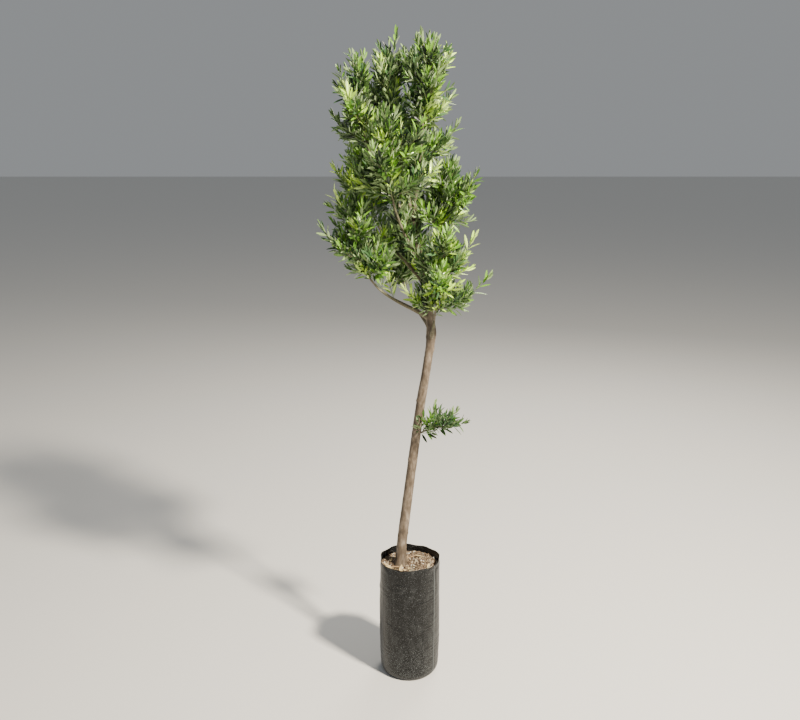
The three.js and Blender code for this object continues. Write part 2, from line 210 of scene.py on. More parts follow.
def unit(vectors):
    """Vectors divided by their own lengths."""
    return vectors / np.maximum(np.linalg.norm(vectors, axis=-1, keepdims=True), 1e-12)


def ease(share):
    """3s^2 - 2s^3, which starts and ends level."""
    return share * share * (3 - 2 * share)


def smoothstep(value, low, high):
    """0 below low, 1 above high, and eased between them."""
    return ease(np.clip((value - low) / (high - low), 0, 1))


def steep_sine(angle):
    """A number from 0 to 1 that looks random: the fraction of a steep sine."""
    wave = np.sin(angle) * STEEPNESS
    return wave - np.floor(wave)


def noise(points, size, seed, upright=1.0):
    """Smooth noise from -1 to 1. Each corner of a lattice, size apart, gets a number from a steep
    sine, and the eight corners round a point are blended. Heights count upright times, so a small
    upright draws the cells out upwards."""
    scaled = points * np.array([1.0, 1.0, upright]) / size
    cell = np.floor(scaled)
    share = ease(scaled - cell)
    total = np.zeros(points.shape[:-1])
    for corner in product((0, 1), repeat=3):
        weight = np.prod(np.where(np.array(corner), share, 1 - share), axis=-1)
        total += weight * steep_sine((cell + corner) @ np.array(WAVES) + SEED_WAVE * seed)
    return 2 * total - 1


print("noise at three places:", noise(np.eye(3), 0.7, 1).round(2))

# %% Rings, fans and pieces


def tube_faces(tubes, rings, sides):
    """Quads between the rings of each tube, with the corners of a tube numbered ring by ring."""
    tube, ring, side = np.meshgrid(np.arange(tubes), np.arange(rings - 1), np.arange(sides),
                                   indexing="ij")
    first = (tube * rings + ring) * sides
    here = first + side
    beside = first + (side + 1) % sides
    return np.stack([here, beside, beside + sides, here + sides], axis=-1).reshape(-1, 4)


def fan(ring, centre, outward_up):
    """Triangles from a ring's corners to a centre point."""
    beside = np.roll(ring, -1)
    middle = np.full(len(ring), centre)
    pair = (ring, beside) if outward_up else (beside, ring)
    return np.stack([*pair, middle], axis=-1)


def make_piece(name, points, faces, materials, tones=None, sharp=None):
    """A mesh piece from corner points and face arrays, filled in whole arrays. It rides on the
    plant's one body."""
    corners = np.concatenate([f.ravel() for f in faces])
    sizes = np.concatenate([np.full(len(f), f.shape[1]) for f in faces])
    mesh = bpy.data.meshes.new(name)
    mesh.vertices.add(len(points))
    mesh.vertices.foreach_set("co", np.asarray(points, np.float32).ravel())
    mesh.loops.add(len(corners))
    mesh.loops.foreach_set("vertex_index", corners.astype(np.int32))
    mesh.polygons.add(len(sizes))
    mesh.polygons.foreach_set("loop_start", (np.cumsum(sizes) - sizes).astype(np.int32))
    for material in materials:
        mesh.materials.append(material)
    mesh.update(calc_edges=True)
    mesh.polygons.foreach_set("use_smooth", np.ones(len(sizes), bool))
    if tones is not None:
        mesh.polygons.foreach_set("material_index", tones.astype(np.int32))
    if sharp is not None:
        mesh.set_sharp_from_angle(angle=math.radians(sharp))
    piece = link(bpy.data.objects.new(name, mesh))
    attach(piece, "root")
    print(f"{name}: {int((sizes - 2).sum())} triangles")
    return piece


def mark(piece, name, values):
    """Stores one number for each corner point, which a material reads as an attribute."""
    attribute = piece.data.attributes.new(name, "FLOAT", "POINT")
    attribute.data.foreach_set("value", np.asarray(values, np.float32).ravel())


print("a tube of 3 rings and 4 sides has", len(tube_faces(1, 3, 4)), "quads")

# %% [markdown]
# ## Lines that limbs and twigs follow
#
# A limb is drawn by its centre line. The trunk and the leader pass through given points on
# a centripetal Catmull-Rom curve, which never loops or overshoots. Boughs, stems and twigs are
# Bezier curves. All are stored as points evenly spaced along the curve, so a share of the length
# is a plain place in the array.

# %% Lines
LINE_POINTS = 481
SPAN_POINTS = 80


def even(line):
    """The same line with LINE_POINTS points evenly spaced along it."""
    run = np.concatenate([[0], np.cumsum(np.linalg.norm(np.diff(line, axis=0), axis=1))])
    wanted = np.linspace(0, run[-1], LINE_POINTS)
    return np.stack([np.interp(wanted, run, line[:, axis]) for axis in range(3)], axis=1)


def slope(before, here, after, gap_in, gap_out):
    """The slope of a smooth line at here, from the points and gaps on both sides."""
    return (here - before) / gap_in - (after - before) / (gap_in + gap_out) + (after - here) / gap_out


def through(points):
    """Centripetal Catmull-Rom: a cubic between each two points, whose slopes come from the
    neighbours, weighted by the square roots of the distances."""
    points = np.array(points)
    ends = [2 * points[0] - points[1]], [2 * points[-1] - points[-2]]
    knots = np.concatenate([ends[0], points, ends[1]])
    share = np.linspace(0, 1, SPAN_POINTS)[:, None]
    spans = []
    for before, here, after, beyond in zip(knots, knots[1:], knots[2:], knots[3:]):
        gap0, gap1, gap2 = (math.sqrt(np.linalg.norm(b - a)) for a, b in
                            ((before, here), (here, after), (after, beyond)))
        slope0 = slope(before, here, after, gap0, gap1) * gap1
        slope1 = slope(here, after, beyond, gap1, gap2) * gap1
        square = -3 * here + 3 * after - 2 * slope0 - slope1
        cube = 2 * here - 2 * after + slope0 + slope1
        spans.append(here + slope0 * share + square * share ** 2 + cube * share ** 3)
    return even(np.concatenate(spans))


def bezier(*handles):
    """A Bezier curve, by blending neighbouring handles until one point is left."""
    share = np.linspace(0, 1, LINE_POINTS)[:, None]
    rows = [np.broadcast_to(handle, (LINE_POINTS, 3)) for handle in handles]
    while len(rows) > 1:
        rows = [a + (b - a) * share for a, b in zip(rows, rows[1:])]
    return even(rows[0])


def point_at(line, share):
    """The point at a share of the line's length."""
    place = np.clip(share, 0, 1) * (LINE_POINTS - 1)
    index = np.minimum(np.floor(place).astype(int), LINE_POINTS - 2)
    part = np.asarray(place - index)[..., None]
    return line[index] * (1 - part) + line[index + 1] * part


def heading_at(line, share):
    """The unit direction of the line at a share of its length."""
    step = 1 / (LINE_POINTS - 1)
    low = np.clip(np.asarray(share) - step, 0, 1 - 2 * step)
    return unit(point_at(line, low + 2 * step) - point_at(line, low))


def length_of(line):
    """The length of a line."""
    return float(np.linalg.norm(np.diff(line, axis=0), axis=1).sum())


print("a straight line of one metre measures", round(length_of(bezier(np.zeros(3), UP)), 3))

# %% [markdown]
# ## The tree's plan
#
# The solids were grown by a short rule: a leaning trunk, a leader that curves back over the foot,
# three tiers of boughs, and an egg of space for each foliage mass with flat borders to its
# neighbours. The same rule is written here in metres, so that the finer growth fills just the
# spaces that the solids have.

# %% Driving dimensions of the trunk and the crown
BAG_HEIGHT = 0.450
RIM_ABOVE_SOIL = 0.030
SOIL_TOP = BAG_HEIGHT - RIM_ABOVE_SOIL
FORK_HEIGHT = 0.940
TREE_HEIGHT = 1.870
AXIS_AT_FORK = 0.040
AXIS_LEAN = 0.080


def tree_point(right, back, height):
    """A point from its place right of the foot, behind it and above the soil, or one for each row."""
    return np.stack(np.broadcast_arrays(right + FOOT_X, back, height + SOIL_TOP), axis=-1)


def crown_axis(height):
    """The line that the crown stands round, leaning back over the foot as it rises."""
    share = (height - FORK_HEIGHT) / (TREE_HEIGHT - FORK_HEIGHT)
    return tree_point(AXIS_AT_FORK - AXIS_LEAN * share, 0.0, height)


print("the crown's space reaches up to", round(SOIL_TOP + TREE_HEIGHT, 3), "m")

# %% The spaces of the foliage masses
SEAT = 0.0003
KNOT_HEIGHT = 0.872
BOUGHS_IN_TIER = 3
FIRST_BEARING = 0.86
GOLDEN_TURN = 0.382
BEARING_SCATTER = 0.1
LEAST_REACH = 0.9
REACH_SCATTER = 0.2
LOWEST_MASS = 1.105
MASS_STEP = 0.065
MASS_SCATTER = 0.030
BORDER_CLEARANCE = 0.0004
TOP_WIDE = 0.135
TOP_TALL = 0.265
SHOOT_HEIGHT = 0.500
SHOOT_REACH = 0.120
SHOOT_HEADING = unit(np.array([0.82, -0.42, 0.38]))
NUMBERS_A_TIER = 4
TOP_NUMBER = 20
SHOOT_NUMBER = 21
TIERS = [
    dict(name="low", root=0.850, base=0.0084, reach=0.138, wide=0.170, tall=0.205),
    dict(name="middle", root=1.000, base=0.0076, reach=0.138, wide=0.174, tall=0.235),
    dict(name="high", root=1.180, base=0.0064, reach=0.114, wide=0.154, tall=0.240),
]


def chance(mass, twig, use):
    """The solids' own numbers from 0 to 1, one for each mass, twig and use."""
    return steep_sine(mass * WAVES[0] + twig * WAVES[1] + use * WAVES[2])


def plan_mass(name, number, centre, wide, tall, **more):
    """A foliage mass's own space: an egg round its middle."""
    radii = np.array([wide, wide, tall])
    return SimpleNamespace(name=name, number=number, centre=centre, radii=radii, **more)


def plan_tier(row, tier):
    """The masses of one tier. From one bough to the next the bearing goes on by the golden share
    of a turn, as an olive's shoots do in the long run, and the height by one step."""
    made = []
    for place in range(BOUGHS_IN_TIER):
        number = NUMBERS_A_TIER * row + place
        count = BOUGHS_IN_TIER * row + place
        swing = BEARING_SCATTER * (chance(number, 1, 1) - 0.5)
        bearing = TURN * (FIRST_BEARING + GOLDEN_TURN * count + swing)
        outward = np.array([math.cos(bearing), math.sin(bearing), 0.0])
        height = LOWEST_MASS + MASS_STEP * count + MASS_SCATTER * (chance(number, 2, 1) - 0.5)
        reach = LEAST_REACH + REACH_SCATTER * chance(number, 3, 1)
        centre = crown_axis(height) + outward * tier["reach"] * reach
        made.append(plan_mass(f"{tier['name']}_{place + 1}", number, centre, tier["wide"], tier["tall"],
                              tier=tier, place=place, outward=outward))
    return made


def line_point_at_height(line, height):
    """The point of a rising line at a height above the soil."""
    return np.array([np.interp(height + SOIL_TOP, line[:, 2], line[:, axis]) for axis in range(3)])


trunk_points = [tree_point(0, 0, SEAT), tree_point(0.011, 0.003, 0.120), tree_point(0.041, 0.008, 0.367),
                tree_point(0.071, 0.004, 0.608), tree_point(0.094, -0.003, 0.759),
                tree_point(0.107, 0, KNOT_HEIGHT), tree_point(0.100, 0.005, FORK_HEIGHT)]
trunk_line = through(trunk_points)
tier_masses = [mass for row, tier in enumerate(TIERS) for mass in plan_tier(row, tier)]
top_mass = plan_mass("top", TOP_NUMBER, crown_axis(TREE_HEIGHT - TOP_TALL), TOP_WIDE, TOP_TALL)
shoot_root = line_point_at_height(trunk_line, SHOOT_HEIGHT)
shoot_mass = plan_mass("shoot", SHOOT_NUMBER, shoot_root + SHOOT_HEADING * SHOOT_REACH,
                       SHOOT_REACH, SHOOT_REACH)
masses = [*tier_masses, top_mass, shoot_mass]


def borders_of(mass):
    """For each neighbour, the flat border square to the line between the two middles. It stands
    nearer to the mass that reaches less far along that line."""
    made = []
    for other in masses:
        if other is mass:
            continue
        gap = np.linalg.norm(other.centre - mass.centre)
        between = (other.centre - mass.centre) / gap
        half = 1 / np.linalg.norm(between / mass.radii)
        other_half = 1 / np.linalg.norm(between / other.radii)
        away = gap * half / (half + other_half) - BORDER_CLEARANCE
        made.append((mass.centre + between * away, -between))
    return made


for mass in masses:
    mass.borders = borders_of(mass)


def is_inside(mass, points, margin=0.0):
    """True where points lie in a mass's egg and on its own side of every border."""
    inside = (((points - mass.centre) / mass.radii) ** 2).sum(axis=-1) < 1
    for point, inward in mass.borders:
        inside &= (points - point) @ inward > margin
    return inside


print("masses:", [mass.name for mass in masses])

# %% The lines and sizes of the limbs
FOOT_RADIUS = 0.0185
FORK_RADIUS = 0.0144
FORK_ROOM = 0.010
LEADER_IN_TRUNK = 0.012
LEADER_BASE = 0.0134
LEADER_TIP = 0.0042
ROOT_STEP = 0.036
BOUGH_TIP = 0.0034
BOUGH_SWELLING = 0.0012
SWELLING_FADE = 14
BOUGH_START = 0.36
BOUGH_UPTURN = 0.25
BOUGH_LIFT = 0.1
BOUGH_ENTRY = 0.005
DEEPEST_ENTRY = 0.86
SHALLOWEST_ENTRY = 0.3
ENTRY_STEP = 0.02
ENTRY_INWARD = 0.25


def entry(mass, inward):
    """The lowest point of a mass's space under its middle, a little towards the crown's axis."""
    down = inward * ENTRY_INWARD * mass.radii[0] - UP * mass.radii[2]
    share = DEEPEST_ENTRY
    while share > SHALLOWEST_ENTRY and not is_inside(mass, mass.centre + down * share, BOUGH_ENTRY):
        share -= ENTRY_STEP
    return mass.centre + down * share


def plan_limb(name, line, base, tip, swell=0.0):
    """A limb: its line, and its radius along it, even from base to tip with a swollen root."""
    share = np.linspace(0, 1, LINE_POINTS)
    radius = base + (tip - base) * share + swell * np.exp(-SWELLING_FADE * share)
    return SimpleNamespace(name=name, line=line, radius=radius)


def plan_bough(mass):
    """A bough leaves its parent sloping outwards and rises more steeply into its foliage."""
    root = mass.tier["root"] + ROOT_STEP * mass.place
    parent = trunk_line if root < FORK_HEIGHT - FORK_ROOM else leader_line
    begin = line_point_at_height(parent, root)
    end = entry(mass, -mass.outward)
    span = end - begin
    upturn = end - span * BOUGH_UPTURN - UP * BOUGH_LIFT * np.linalg.norm(span)
    line = bezier(begin, begin + span * BOUGH_START, upturn, end)
    return plan_limb("bough_" + mass.name, line, mass.tier["base"], BOUGH_TIP, BOUGH_SWELLING)


leader_points = [tree_point(0.101, 0.005, FORK_HEIGHT - LEADER_IN_TRUNK),
                 tree_point(0.092, 0.006, 1.010), tree_point(0.062, -0.004, 1.150),
                 tree_point(0.032, 0.002, 1.310), entry(top_mass, np.zeros(3))]
leader_line = through(leader_points)
trunk = plan_limb("trunk", trunk_line, FOOT_RADIUS, FORK_RADIUS)
leader = plan_limb("leader", leader_line, LEADER_BASE, LEADER_TIP)
boughs = [plan_bough(mass) for mass in tier_masses]
limbs = [trunk, leader, *boughs]
for mass, limb in zip([*tier_masses, top_mass], [*boughs, leader]):
    mass.limb = limb
    mass.heading = heading_at(limb.line, 1.0)
    mass.start = limb.line[-1] + mass.heading * SEAT
shoot_mass.heading = SHOOT_HEADING
shoot_mass.start = shoot_root
print("limbs:", {limb.name: round(length_of(limb.line), 3) for limb in limbs})

# %% [markdown]
# ## Bark
#
# Bark on an olive of this age is thin, smooth and grey-brown. It shows shallow flutes, fine upright
# cracks, and round scars where side shoots were cut off. Painted bark would look flat at the
# trunk's edge, so the relief is real: each ring's radius carries it. The trunk and its leader are
# one surface, so no joint shows at the fork. The cracks' depth is kept as an attribute, and the
# material paints shade into them as a darker colour.

# %% Bark relief
TUBE_NUDGE = np.array([1e-4, 0, 0])
SCARS = 13
SCAR_SIZE = 0.0058
SCAR_HEIGHT = 0.0026
SCAR_NUMBER = 31
SCAR_FROM = 0.10
SCAR_STRETCH = 0.80
SMALLEST_SCAR = 0.5
SCAR_GROWTH = 0.8
DIMPLE = 0.55
DIMPLE_NARROWER = 7
BARK_LUMPS = [(0.90, 0.019, 1, 0.3), (0.35, 0.007, 2, 0.3), (0.12, 0.0025, 3, 1.0)]
BARK_CRACKS = dict(depth=1.0, size=0.0062, seed=4, upright=0.13, width=0.16, patch=0.035,
                   low=-0.35, high=0.3)
CRACK_DEPTH = 0.5


def frames_along(line, ahead):
    """Unit arrays across and over, with across x over = ahead. Both come from the level line that
    is square to the limb's whole span, so the rings never twist."""
    level = unit(np.cross(line[..., -1, :] - line[..., 0, :], UP) + TUBE_NUDGE)
    across = unit(np.cross(level[..., None, :], ahead))
    return across, np.cross(ahead, across)


def rings_round(line, across, over, radius, sides):
    """Rings of points: centre + radius (across cos a + over sin a). Radius is one number for each
    ring, or one for each point of each ring."""
    angle = np.arange(sides) * TURN / sides
    radius = radius if radius.ndim == line.ndim else radius[..., None]
    spoke = across[..., None, :] * np.cos(angle)[:, None] + over[..., None, :] * np.sin(angle)[:, None]
    return line[..., None, :] + spoke * np.broadcast_to(radius, spoke.shape[:-1])[..., None]


def layers(points, parts):
    """A sum of noises, each given as (height, cell size, seed, upright)."""
    return sum(height * noise(points, size, seed, upright) for height, size, seed, upright in parts)


def veins(points, depth, size, seed, upright, width, patch, low, high):
    """Fine lines along which a noise is zero: depth exp(-(noise / width)^2). They fade out where a
    second noise, of cells patch across, goes from high to low."""
    lines = depth * np.exp(-(noise(points, size, seed, upright) / width) ** 2)
    return lines * smoothstep(noise(points, patch, seed + 1), low, high)


def turn_between(angle, bearing):
    """The turn from a bearing to an angle, at most half a turn either way."""
    return (angle - bearing + math.pi) % TURN - math.pi


def bark_relief(points, strength):
    """Metres out of the smooth limb, and the crack's share. Flutes and lumps are slow noise drawn
    out upwards; a crack follows the line where another noise is zero."""
    crack = veins(points, **BARK_CRACKS)
    return strength * MM * (layers(points, BARK_LUMPS) - CRACK_DEPTH * crack), crack


def add_scars(height, angle, radius):
    """Pruning scars: a round lump with a dimple, each at its own height and bearing."""
    total = np.zeros(np.broadcast(height, angle).shape)
    for i in range(SCARS):
        place = SCAR_FROM + SCAR_STRETCH * (i + chance(SCAR_NUMBER, i, 1)) / SCARS
        round_it = radius * turn_between(angle, TURN * chance(SCAR_NUMBER, i, 2))
        away = (round_it ** 2 + (height - place) ** 2) / SCAR_SIZE ** 2
        size = SMALLEST_SCAR + SCAR_GROWTH * chance(SCAR_NUMBER, i, 3)
        total += SCAR_HEIGHT * size * (np.exp(-away) - DIMPLE * np.exp(-away * DIMPLE_NARROWER))
    return total


def close_grid(points, rings, sides):
    """Corner points and faces of one closed tube: its rings, and a centre for each end's fan."""
    centres = points.reshape(rings, sides, 3)[[0, -1]].mean(axis=1)
    corners = np.concatenate([points.reshape(-1, 3), centres])
    low = fan(np.arange(sides), rings * sides, False)
    high = fan((rings - 1) * sides + np.arange(sides), rings * sides + 1, True)
    return corners, [tube_faces(1, rings, sides), low, high]


sample = bark_relief(trunk_line, 1.0)[0] / MM
print("relief along the trunk, in mm:", sample.min().round(2), "to", sample.max().round(2))

# %% The trunk and its leader in one surface
TRUNK_SIDES = 84
TRUNK_RINGS = 860
TRUNK_SUNK = 0.004
KNOT_SWELL = 0.0024
KNOT_SPREAD = 0.026
ROOT_FLARE = 0.006
FLARE_RISE = 0.028
ROOT_LOBES = 3
LOBE_START = 0.6
LOBE_DEPTH = 0.35
FORK_BLEND = 0.03
THIN_BELOW_TOP = 0.3
THIN_IS_SMOOTHER = 0.65
THIN_IS_YOUNGER = 0.75


def stem_radius(height, angle):
    """The trunk's taper, knot and lobed root flare below the fork, and the leader's taper above."""
    lobes = 1 + LOBE_DEPTH * np.cos(ROOT_LOBES * angle + LOBE_START)
    top = leader_line[-1][2] - SOIL_TOP
    low = FOOT_RADIUS + (FORK_RADIUS - FOOT_RADIUS) * height / FORK_HEIGHT
    low = low + KNOT_SWELL * np.exp(-((height - KNOT_HEIGHT) / KNOT_SPREAD) ** 2)
    low = low + ROOT_FLARE * np.exp(-np.maximum(height, 0) / FLARE_RISE) * lobes
    high = LEADER_BASE + (LEADER_TIP - LEADER_BASE) * (height - FORK_HEIGHT) / (top - FORK_HEIGHT)
    share = smoothstep(height, FORK_HEIGHT - FORK_BLEND, FORK_HEIGHT + FORK_BLEND)
    return low * (1 - share) + high * share


stem_line = through([*trunk_points, *leader_points[1:]])
stem_rows = point_at(stem_line, np.linspace(0, 1, TRUNK_RINGS))
stem_rows[0] -= UP * TRUNK_SUNK
angle = np.arange(TRUNK_SIDES) * TURN / TRUNK_SIDES
height = (stem_rows[:, 2] - SOIL_TOP)[:, None]
smooth_radius = stem_radius(height, angle)
flat_across = np.broadcast_to([1.0, 0.0, 0.0], stem_rows.shape)
flat_over = np.broadcast_to([0.0, 1.0, 0.0], stem_rows.shape)
smooth = rings_round(stem_rows, flat_across, flat_over, smooth_radius, TRUNK_SIDES)
thin = smoothstep(height, FORK_HEIGHT, TREE_HEIGHT - THIN_BELOW_TOP)
relief, crack = bark_relief(smooth, 1 - THIN_IS_SMOOTHER * thin)
relief = relief + add_scars(height, angle, smooth_radius)
stem_points = rings_round(stem_rows, flat_across, flat_over, smooth_radius + relief, TRUNK_SIDES)
corners, faces = close_grid(stem_points, TRUNK_RINGS, TRUNK_SIDES)

bark = blank_material("Olive bark, thin and smooth")
trunk_piece = make_piece("trunk_bark", corners, faces, [bark])
mark(trunk_piece, "crack", np.append(crack.ravel(), [0, 0]))
young = np.broadcast_to(THIN_IS_YOUNGER * thin, crack.shape)
mark(trunk_piece, "young", np.append(young.ravel(), [0, 1]))
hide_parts("trunk", "leader")

# %% The boughs, each with a collar where it leaves its parent
BOUGH_SIDES = 26
BOUGH_RINGS = 64
COLLAR = 0.0030
COLLAR_RUN = 0.012
COLLAR_START = 0.04
BOUGH_RELIEF = 0.45
YOUNG_AT_ROOT = 0.3
YOUNGER_AT_TIP = 0.6


def bough_surface(bough):
    """A tapering limb whose radius swells by COLLAR exp(-way out / COLLAR_RUN) at its parent's bark."""
    share = np.linspace(0, 1, BOUGH_RINGS)
    line = point_at(bough.line, share)
    across, over = frames_along(line, heading_at(bough.line, share))
    out = np.maximum(share * length_of(bough.line) - FORK_RADIUS, 0)
    radius = np.interp(share, np.linspace(0, 1, LINE_POINTS), bough.radius)
    radius = radius + COLLAR * np.exp(-out / COLLAR_RUN) * smoothstep(share, 0.0, COLLAR_START)
    smooth = rings_round(line, across, over, radius, BOUGH_SIDES)
    relief, crack = bark_relief(smooth, BOUGH_RELIEF)
    points = rings_round(line, across, over, radius[:, None] + relief, BOUGH_SIDES)
    young = YOUNG_AT_ROOT + YOUNGER_AT_TIP * share
    return points, crack, np.broadcast_to(young[:, None], crack.shape)


bough_corners, bough_faces, bough_crack, bough_young = [], [], [], []
for bough in boughs:
    points, crack, young = bough_surface(bough)
    start = sum(len(c) for c in bough_corners)
    corners, faces = close_grid(points, BOUGH_RINGS, BOUGH_SIDES)
    bough_corners.append(corners)
    bough_faces += [f + start for f in faces]
    bough_crack.append(np.append(crack.ravel(), [0, 0]))
    bough_young.append(np.append(young.ravel(), [YOUNG_AT_ROOT, YOUNG_AT_ROOT + YOUNGER_AT_TIP]))
bough_piece = make_piece("bough_bark", np.concatenate(bough_corners), bough_faces, [bark])
mark(bough_piece, "crack", np.concatenate(bough_crack))
mark(bough_piece, "young", np.concatenate(bough_young))
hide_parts(*[bough.name for bough in boughs])

# %% [markdown]
# ## Bark's colour
#
# Olive bark is a thin grey-brown cork. In patches as large as a thumbnail it goes from tan to ash
# grey, and thinner wood is greener because living bark shows through. Shade is painted into the
# cracks as a darker colour.
# It scatters light like chalk, so its roughness is high. The patches are drawn out along the limb.

# %% Bark material
# A Mix node has several sockets of one name, so those for colours are picked by their numbers.
MIX_SHARE, MIX_FIRST, MIX_SECOND, MIX_RESULT = 0, 6, 7, 2


def grain(material, size, detail=3.0, stretch=(1.0, 1.0, 1.0)):
    """Noise on Object coordinates whose cells are size metres across, times stretch on each axis."""
    place = add_node(material, "TexCoord").outputs["Object"]
    scale = [1 / (size * s) for s in stretch]
    sized = add_node(material, "Mapping", {"Vector": place, "Scale": scale}).outputs["Vector"]
    made = add_node(material, "TexNoise", {"Vector": sized, "Scale": 1.0, "Detail": detail,
                                           "Roughness": 0.6})
    return made.outputs["Fac"]


old_patches = add_node(bark, "ValToRGB", {"Fac": grain(bark, 16 * MM, 4.0, (1.0, 1.0, 2.4))},
                       stops=[(0.30, "#453a30"), (0.48, "#655849"), (0.62, "#7f7264"), (0.78, "#9d9283")])
young_patches = add_node(bark, "ValToRGB", {"Fac": grain(bark, 9 * MM, 3.0, (1.0, 1.0, 3.0))},
                         stops=[(0.30, "#55553f"), (0.70, "#7d7b61")])
young_share = add_node(bark, "Attribute", attribute_name="young").outputs["Fac"]
crack_share = add_node(bark, "Attribute", attribute_name="crack").outputs["Fac"]
by_age = add_node(bark, "Mix", {MIX_SHARE: young_share, MIX_FIRST: old_patches.outputs["Color"],
                                MIX_SECOND: young_patches.outputs["Color"]}, data_type="RGBA")
# Painted shade: the cracks are mixed towards a deep brown, darker than the bark round them.
crack_painted_shade = add_node(bark, "Math", {0: crack_share, 1: 0.7}, operation="MULTIPLY")
cracked = add_node(bark, "Mix", {MIX_SHARE: crack_painted_shade.outputs["Value"], MIX_FIRST: by_age.outputs[MIX_RESULT],
                                 MIX_SECOND: colour("#453a2e")}, data_type="RGBA")
fine_cork = add_node(bark, "Bump", {"Height": grain(bark, 1.2 * MM, 2.0, (1.0, 1.0, 2.0)),
                                    "Strength": 0.5, "Distance": 0.4 * MM})
finish_material(bark, add_node(bark, "BsdfPrincipled", {
    "Base Color": cracked.outputs[MIX_RESULT], "Roughness": 0.85, "Normal": fine_cork.outputs["Normal"]}))
print("bark has", len(bark.node_tree.nodes), "nodes")

# %% [markdown]
# ## The grow bag's film
#
# A grow bag is a flat tube of blown black polythene, sealed across its foot and filled until it
# stands round. What shows is that history: two sharp creases where the tube lay flat, soft upright
# folds, fine level wrinkles where the mix has settled, and a limp free edge above the soil. All of
# it is a displacement of the solid's own turned wall, worked out as one array from the underside,
# up the outside, over the edge and down the inside.

# %% The bag's surface
BAG_RADIUS = 0.108
BAG_BELLY = 0.003
FOOT_ROUND = 0.011
FOOT_RISE = 0.009
FILM = 0.0005
BAG_SIDES = 336
WALL_RINGS = 205
FOOT_SHARES = (0.3, 0.65, 0.9)
INNER_FOOT_SHARES = (0.6, 0.25)
INNER_RINGS = 18
INNER_BELOW_SOIL = 0.02
INNER_LOW = (0.3, 0.15, 0.02)
LIMP_BELOW_SOIL = 0.012
STILL_AT_FOOT = 0.03
WALL_FOLD = dict(count=3, start=0.4, depth=0.006)
CROSS_FOLD = dict(count=5, start=2, depth=0.005)
RIM_FOLD = dict(count=7, start=1)
RIM_FOLD_DEPTH = 0.018
EDGE_WAVE = dict(count=4, start=0.8, depth=2.2)
EDGE_RAGS = [(1.8, 0.21, 19, 1.0)]
CREASE_BEARINGS = (-0.62, 2.52)
CREASE_WIDTH = 0.0016
CREASE_HEIGHT = 1.9
DENTS = [(1.5, 0.048, 11, 0.35), (0.5, 0.021, 12, 1.0)]
SOFT_CREASES = dict(depth=0.8, size=0.034, seed=13, upright=0.12, width=0.07, patch=0.08,
                    low=-0.2, high=0.4)
SETTLED = dict(size=0.09, seed=15, upright=1.6)
SETTLED_FROM_TO = (-0.05, 0.35)
WRINKLE_HEIGHT = 0.85
WRINKLE_SPREAD = np.array([0.16, 0.16, 1])
WRINKLES = dict(size=0.0062, seed=16)
CRUMPLE = [(3.2, 0.034, 17, 1.0), (1.6, 0.012, 18, 1.0)]


def bag_outer(z):
    """The solid bag's wall: straight, with a slight belly, and drawn in round the foot."""
    return BAG_RADIUS + BAG_BELLY * np.sin(math.pi * z / BAG_HEIGHT) - FOOT_ROUND * np.exp(-z / FOOT_RISE)


def waves_round(angle, count, start, depth):
    """Waves that go round the bag: depth sin(count angle + start)."""
    return depth * np.sin(count * angle + start)


def bag_folds(angle, near_rim):
    """The solid's own soft folds, as a share of the radius."""
    walls = waves_round(angle, **WALL_FOLD) + waves_round(angle, **CROSS_FOLD)
    return 1 + walls + waves_round(angle, depth=RIM_FOLD_DEPTH * near_rim, **RIM_FOLD)


def crease_share(angle):
    """1 on the two fold lines of the flat tube, and exp(-(way to the line / CREASE_WIDTH)^2)
    beside them."""
    return sum(np.exp(-(BAG_RADIUS * turn_between(angle, bearing) / CREASE_WIDTH) ** 2)
               for bearing in CREASE_BEARINGS)


def film_relief(angle, z):
    """Metres out of the turned wall: soft dents, upright creases, the two fold lines of the flat
    tube, level wrinkles in patches, and a crumpled free edge."""
    place = np.stack([BAG_RADIUS * np.cos(angle), BAG_RADIUS * np.sin(angle), z], axis=-1)
    near_rim = smoothstep(z, SOIL_TOP - LIMP_BELOW_SOIL, BAG_HEIGHT)
    settled = smoothstep(noise(place, **SETTLED), *SETTLED_FROM_TO)
    wrinkles = settled * WRINKLE_HEIGHT * noise(place * WRINKLE_SPREAD, **WRINKLES)
    folds = layers(place, DENTS) + veins(place, **SOFT_CREASES) + wrinkles
    still = smoothstep(z, 0.0, STILL_AT_FOOT)
    relief = still * (folds + CREASE_HEIGHT * crease_share(angle)) + near_rim * layers(place, CRUMPLE)
    return MM * relief, near_rim


def bag_ring(z, angle, inner):
    """One ring of the wall at a height, on the outside or one film's thickness inside it."""
    relief, near_rim = film_relief(angle, np.full_like(angle, z))
    radius = bag_outer(z) * bag_folds(angle, near_rim) + relief - inner * FILM
    circle = np.stack([np.cos(angle), np.sin(angle), 0 * angle], axis=-1)
    ragged = waves_round(angle, **EDGE_WAVE) - EDGE_WAVE["depth"] + layers(circle, EDGE_RAGS)
    return np.stack([radius * np.cos(angle), radius * np.sin(angle), z + near_rim * ragged * MM], axis=-1)


angle = np.arange(BAG_SIDES) * TURN / BAG_SIDES
wall_heights = BAG_HEIGHT * np.linspace(0, 1, WALL_RINGS)
inner_heights = [*np.linspace(BAG_HEIGHT, SOIL_TOP - INNER_BELOW_SOIL, INNER_RINGS), *INNER_LOW, FILM]
foot_ring = bag_ring(0.0, angle, 0)
inner_foot = bag_ring(FILM, angle, 1)
bag_rows = [foot_ring * [s, s, 1] for s in FOOT_SHARES]
bag_rows += [bag_ring(z, angle, 0) for z in wall_heights]
bag_rows += [bag_ring(z, angle, 1) for z in inner_heights]
bag_rows += [inner_foot * [s, s, 1] for s in INNER_FOOT_SHARES]
corners, faces = close_grid(np.stack(bag_rows), len(bag_rows), BAG_SIDES)
film = blank_material("Black polythene film, blown and dusty")
bag_piece = make_piece("bag_film", corners, faces, [film])
mark(bag_piece, "crease", np.append(np.tile(crease_share(angle), len(bag_rows)), [0, 0]))
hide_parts("bag")
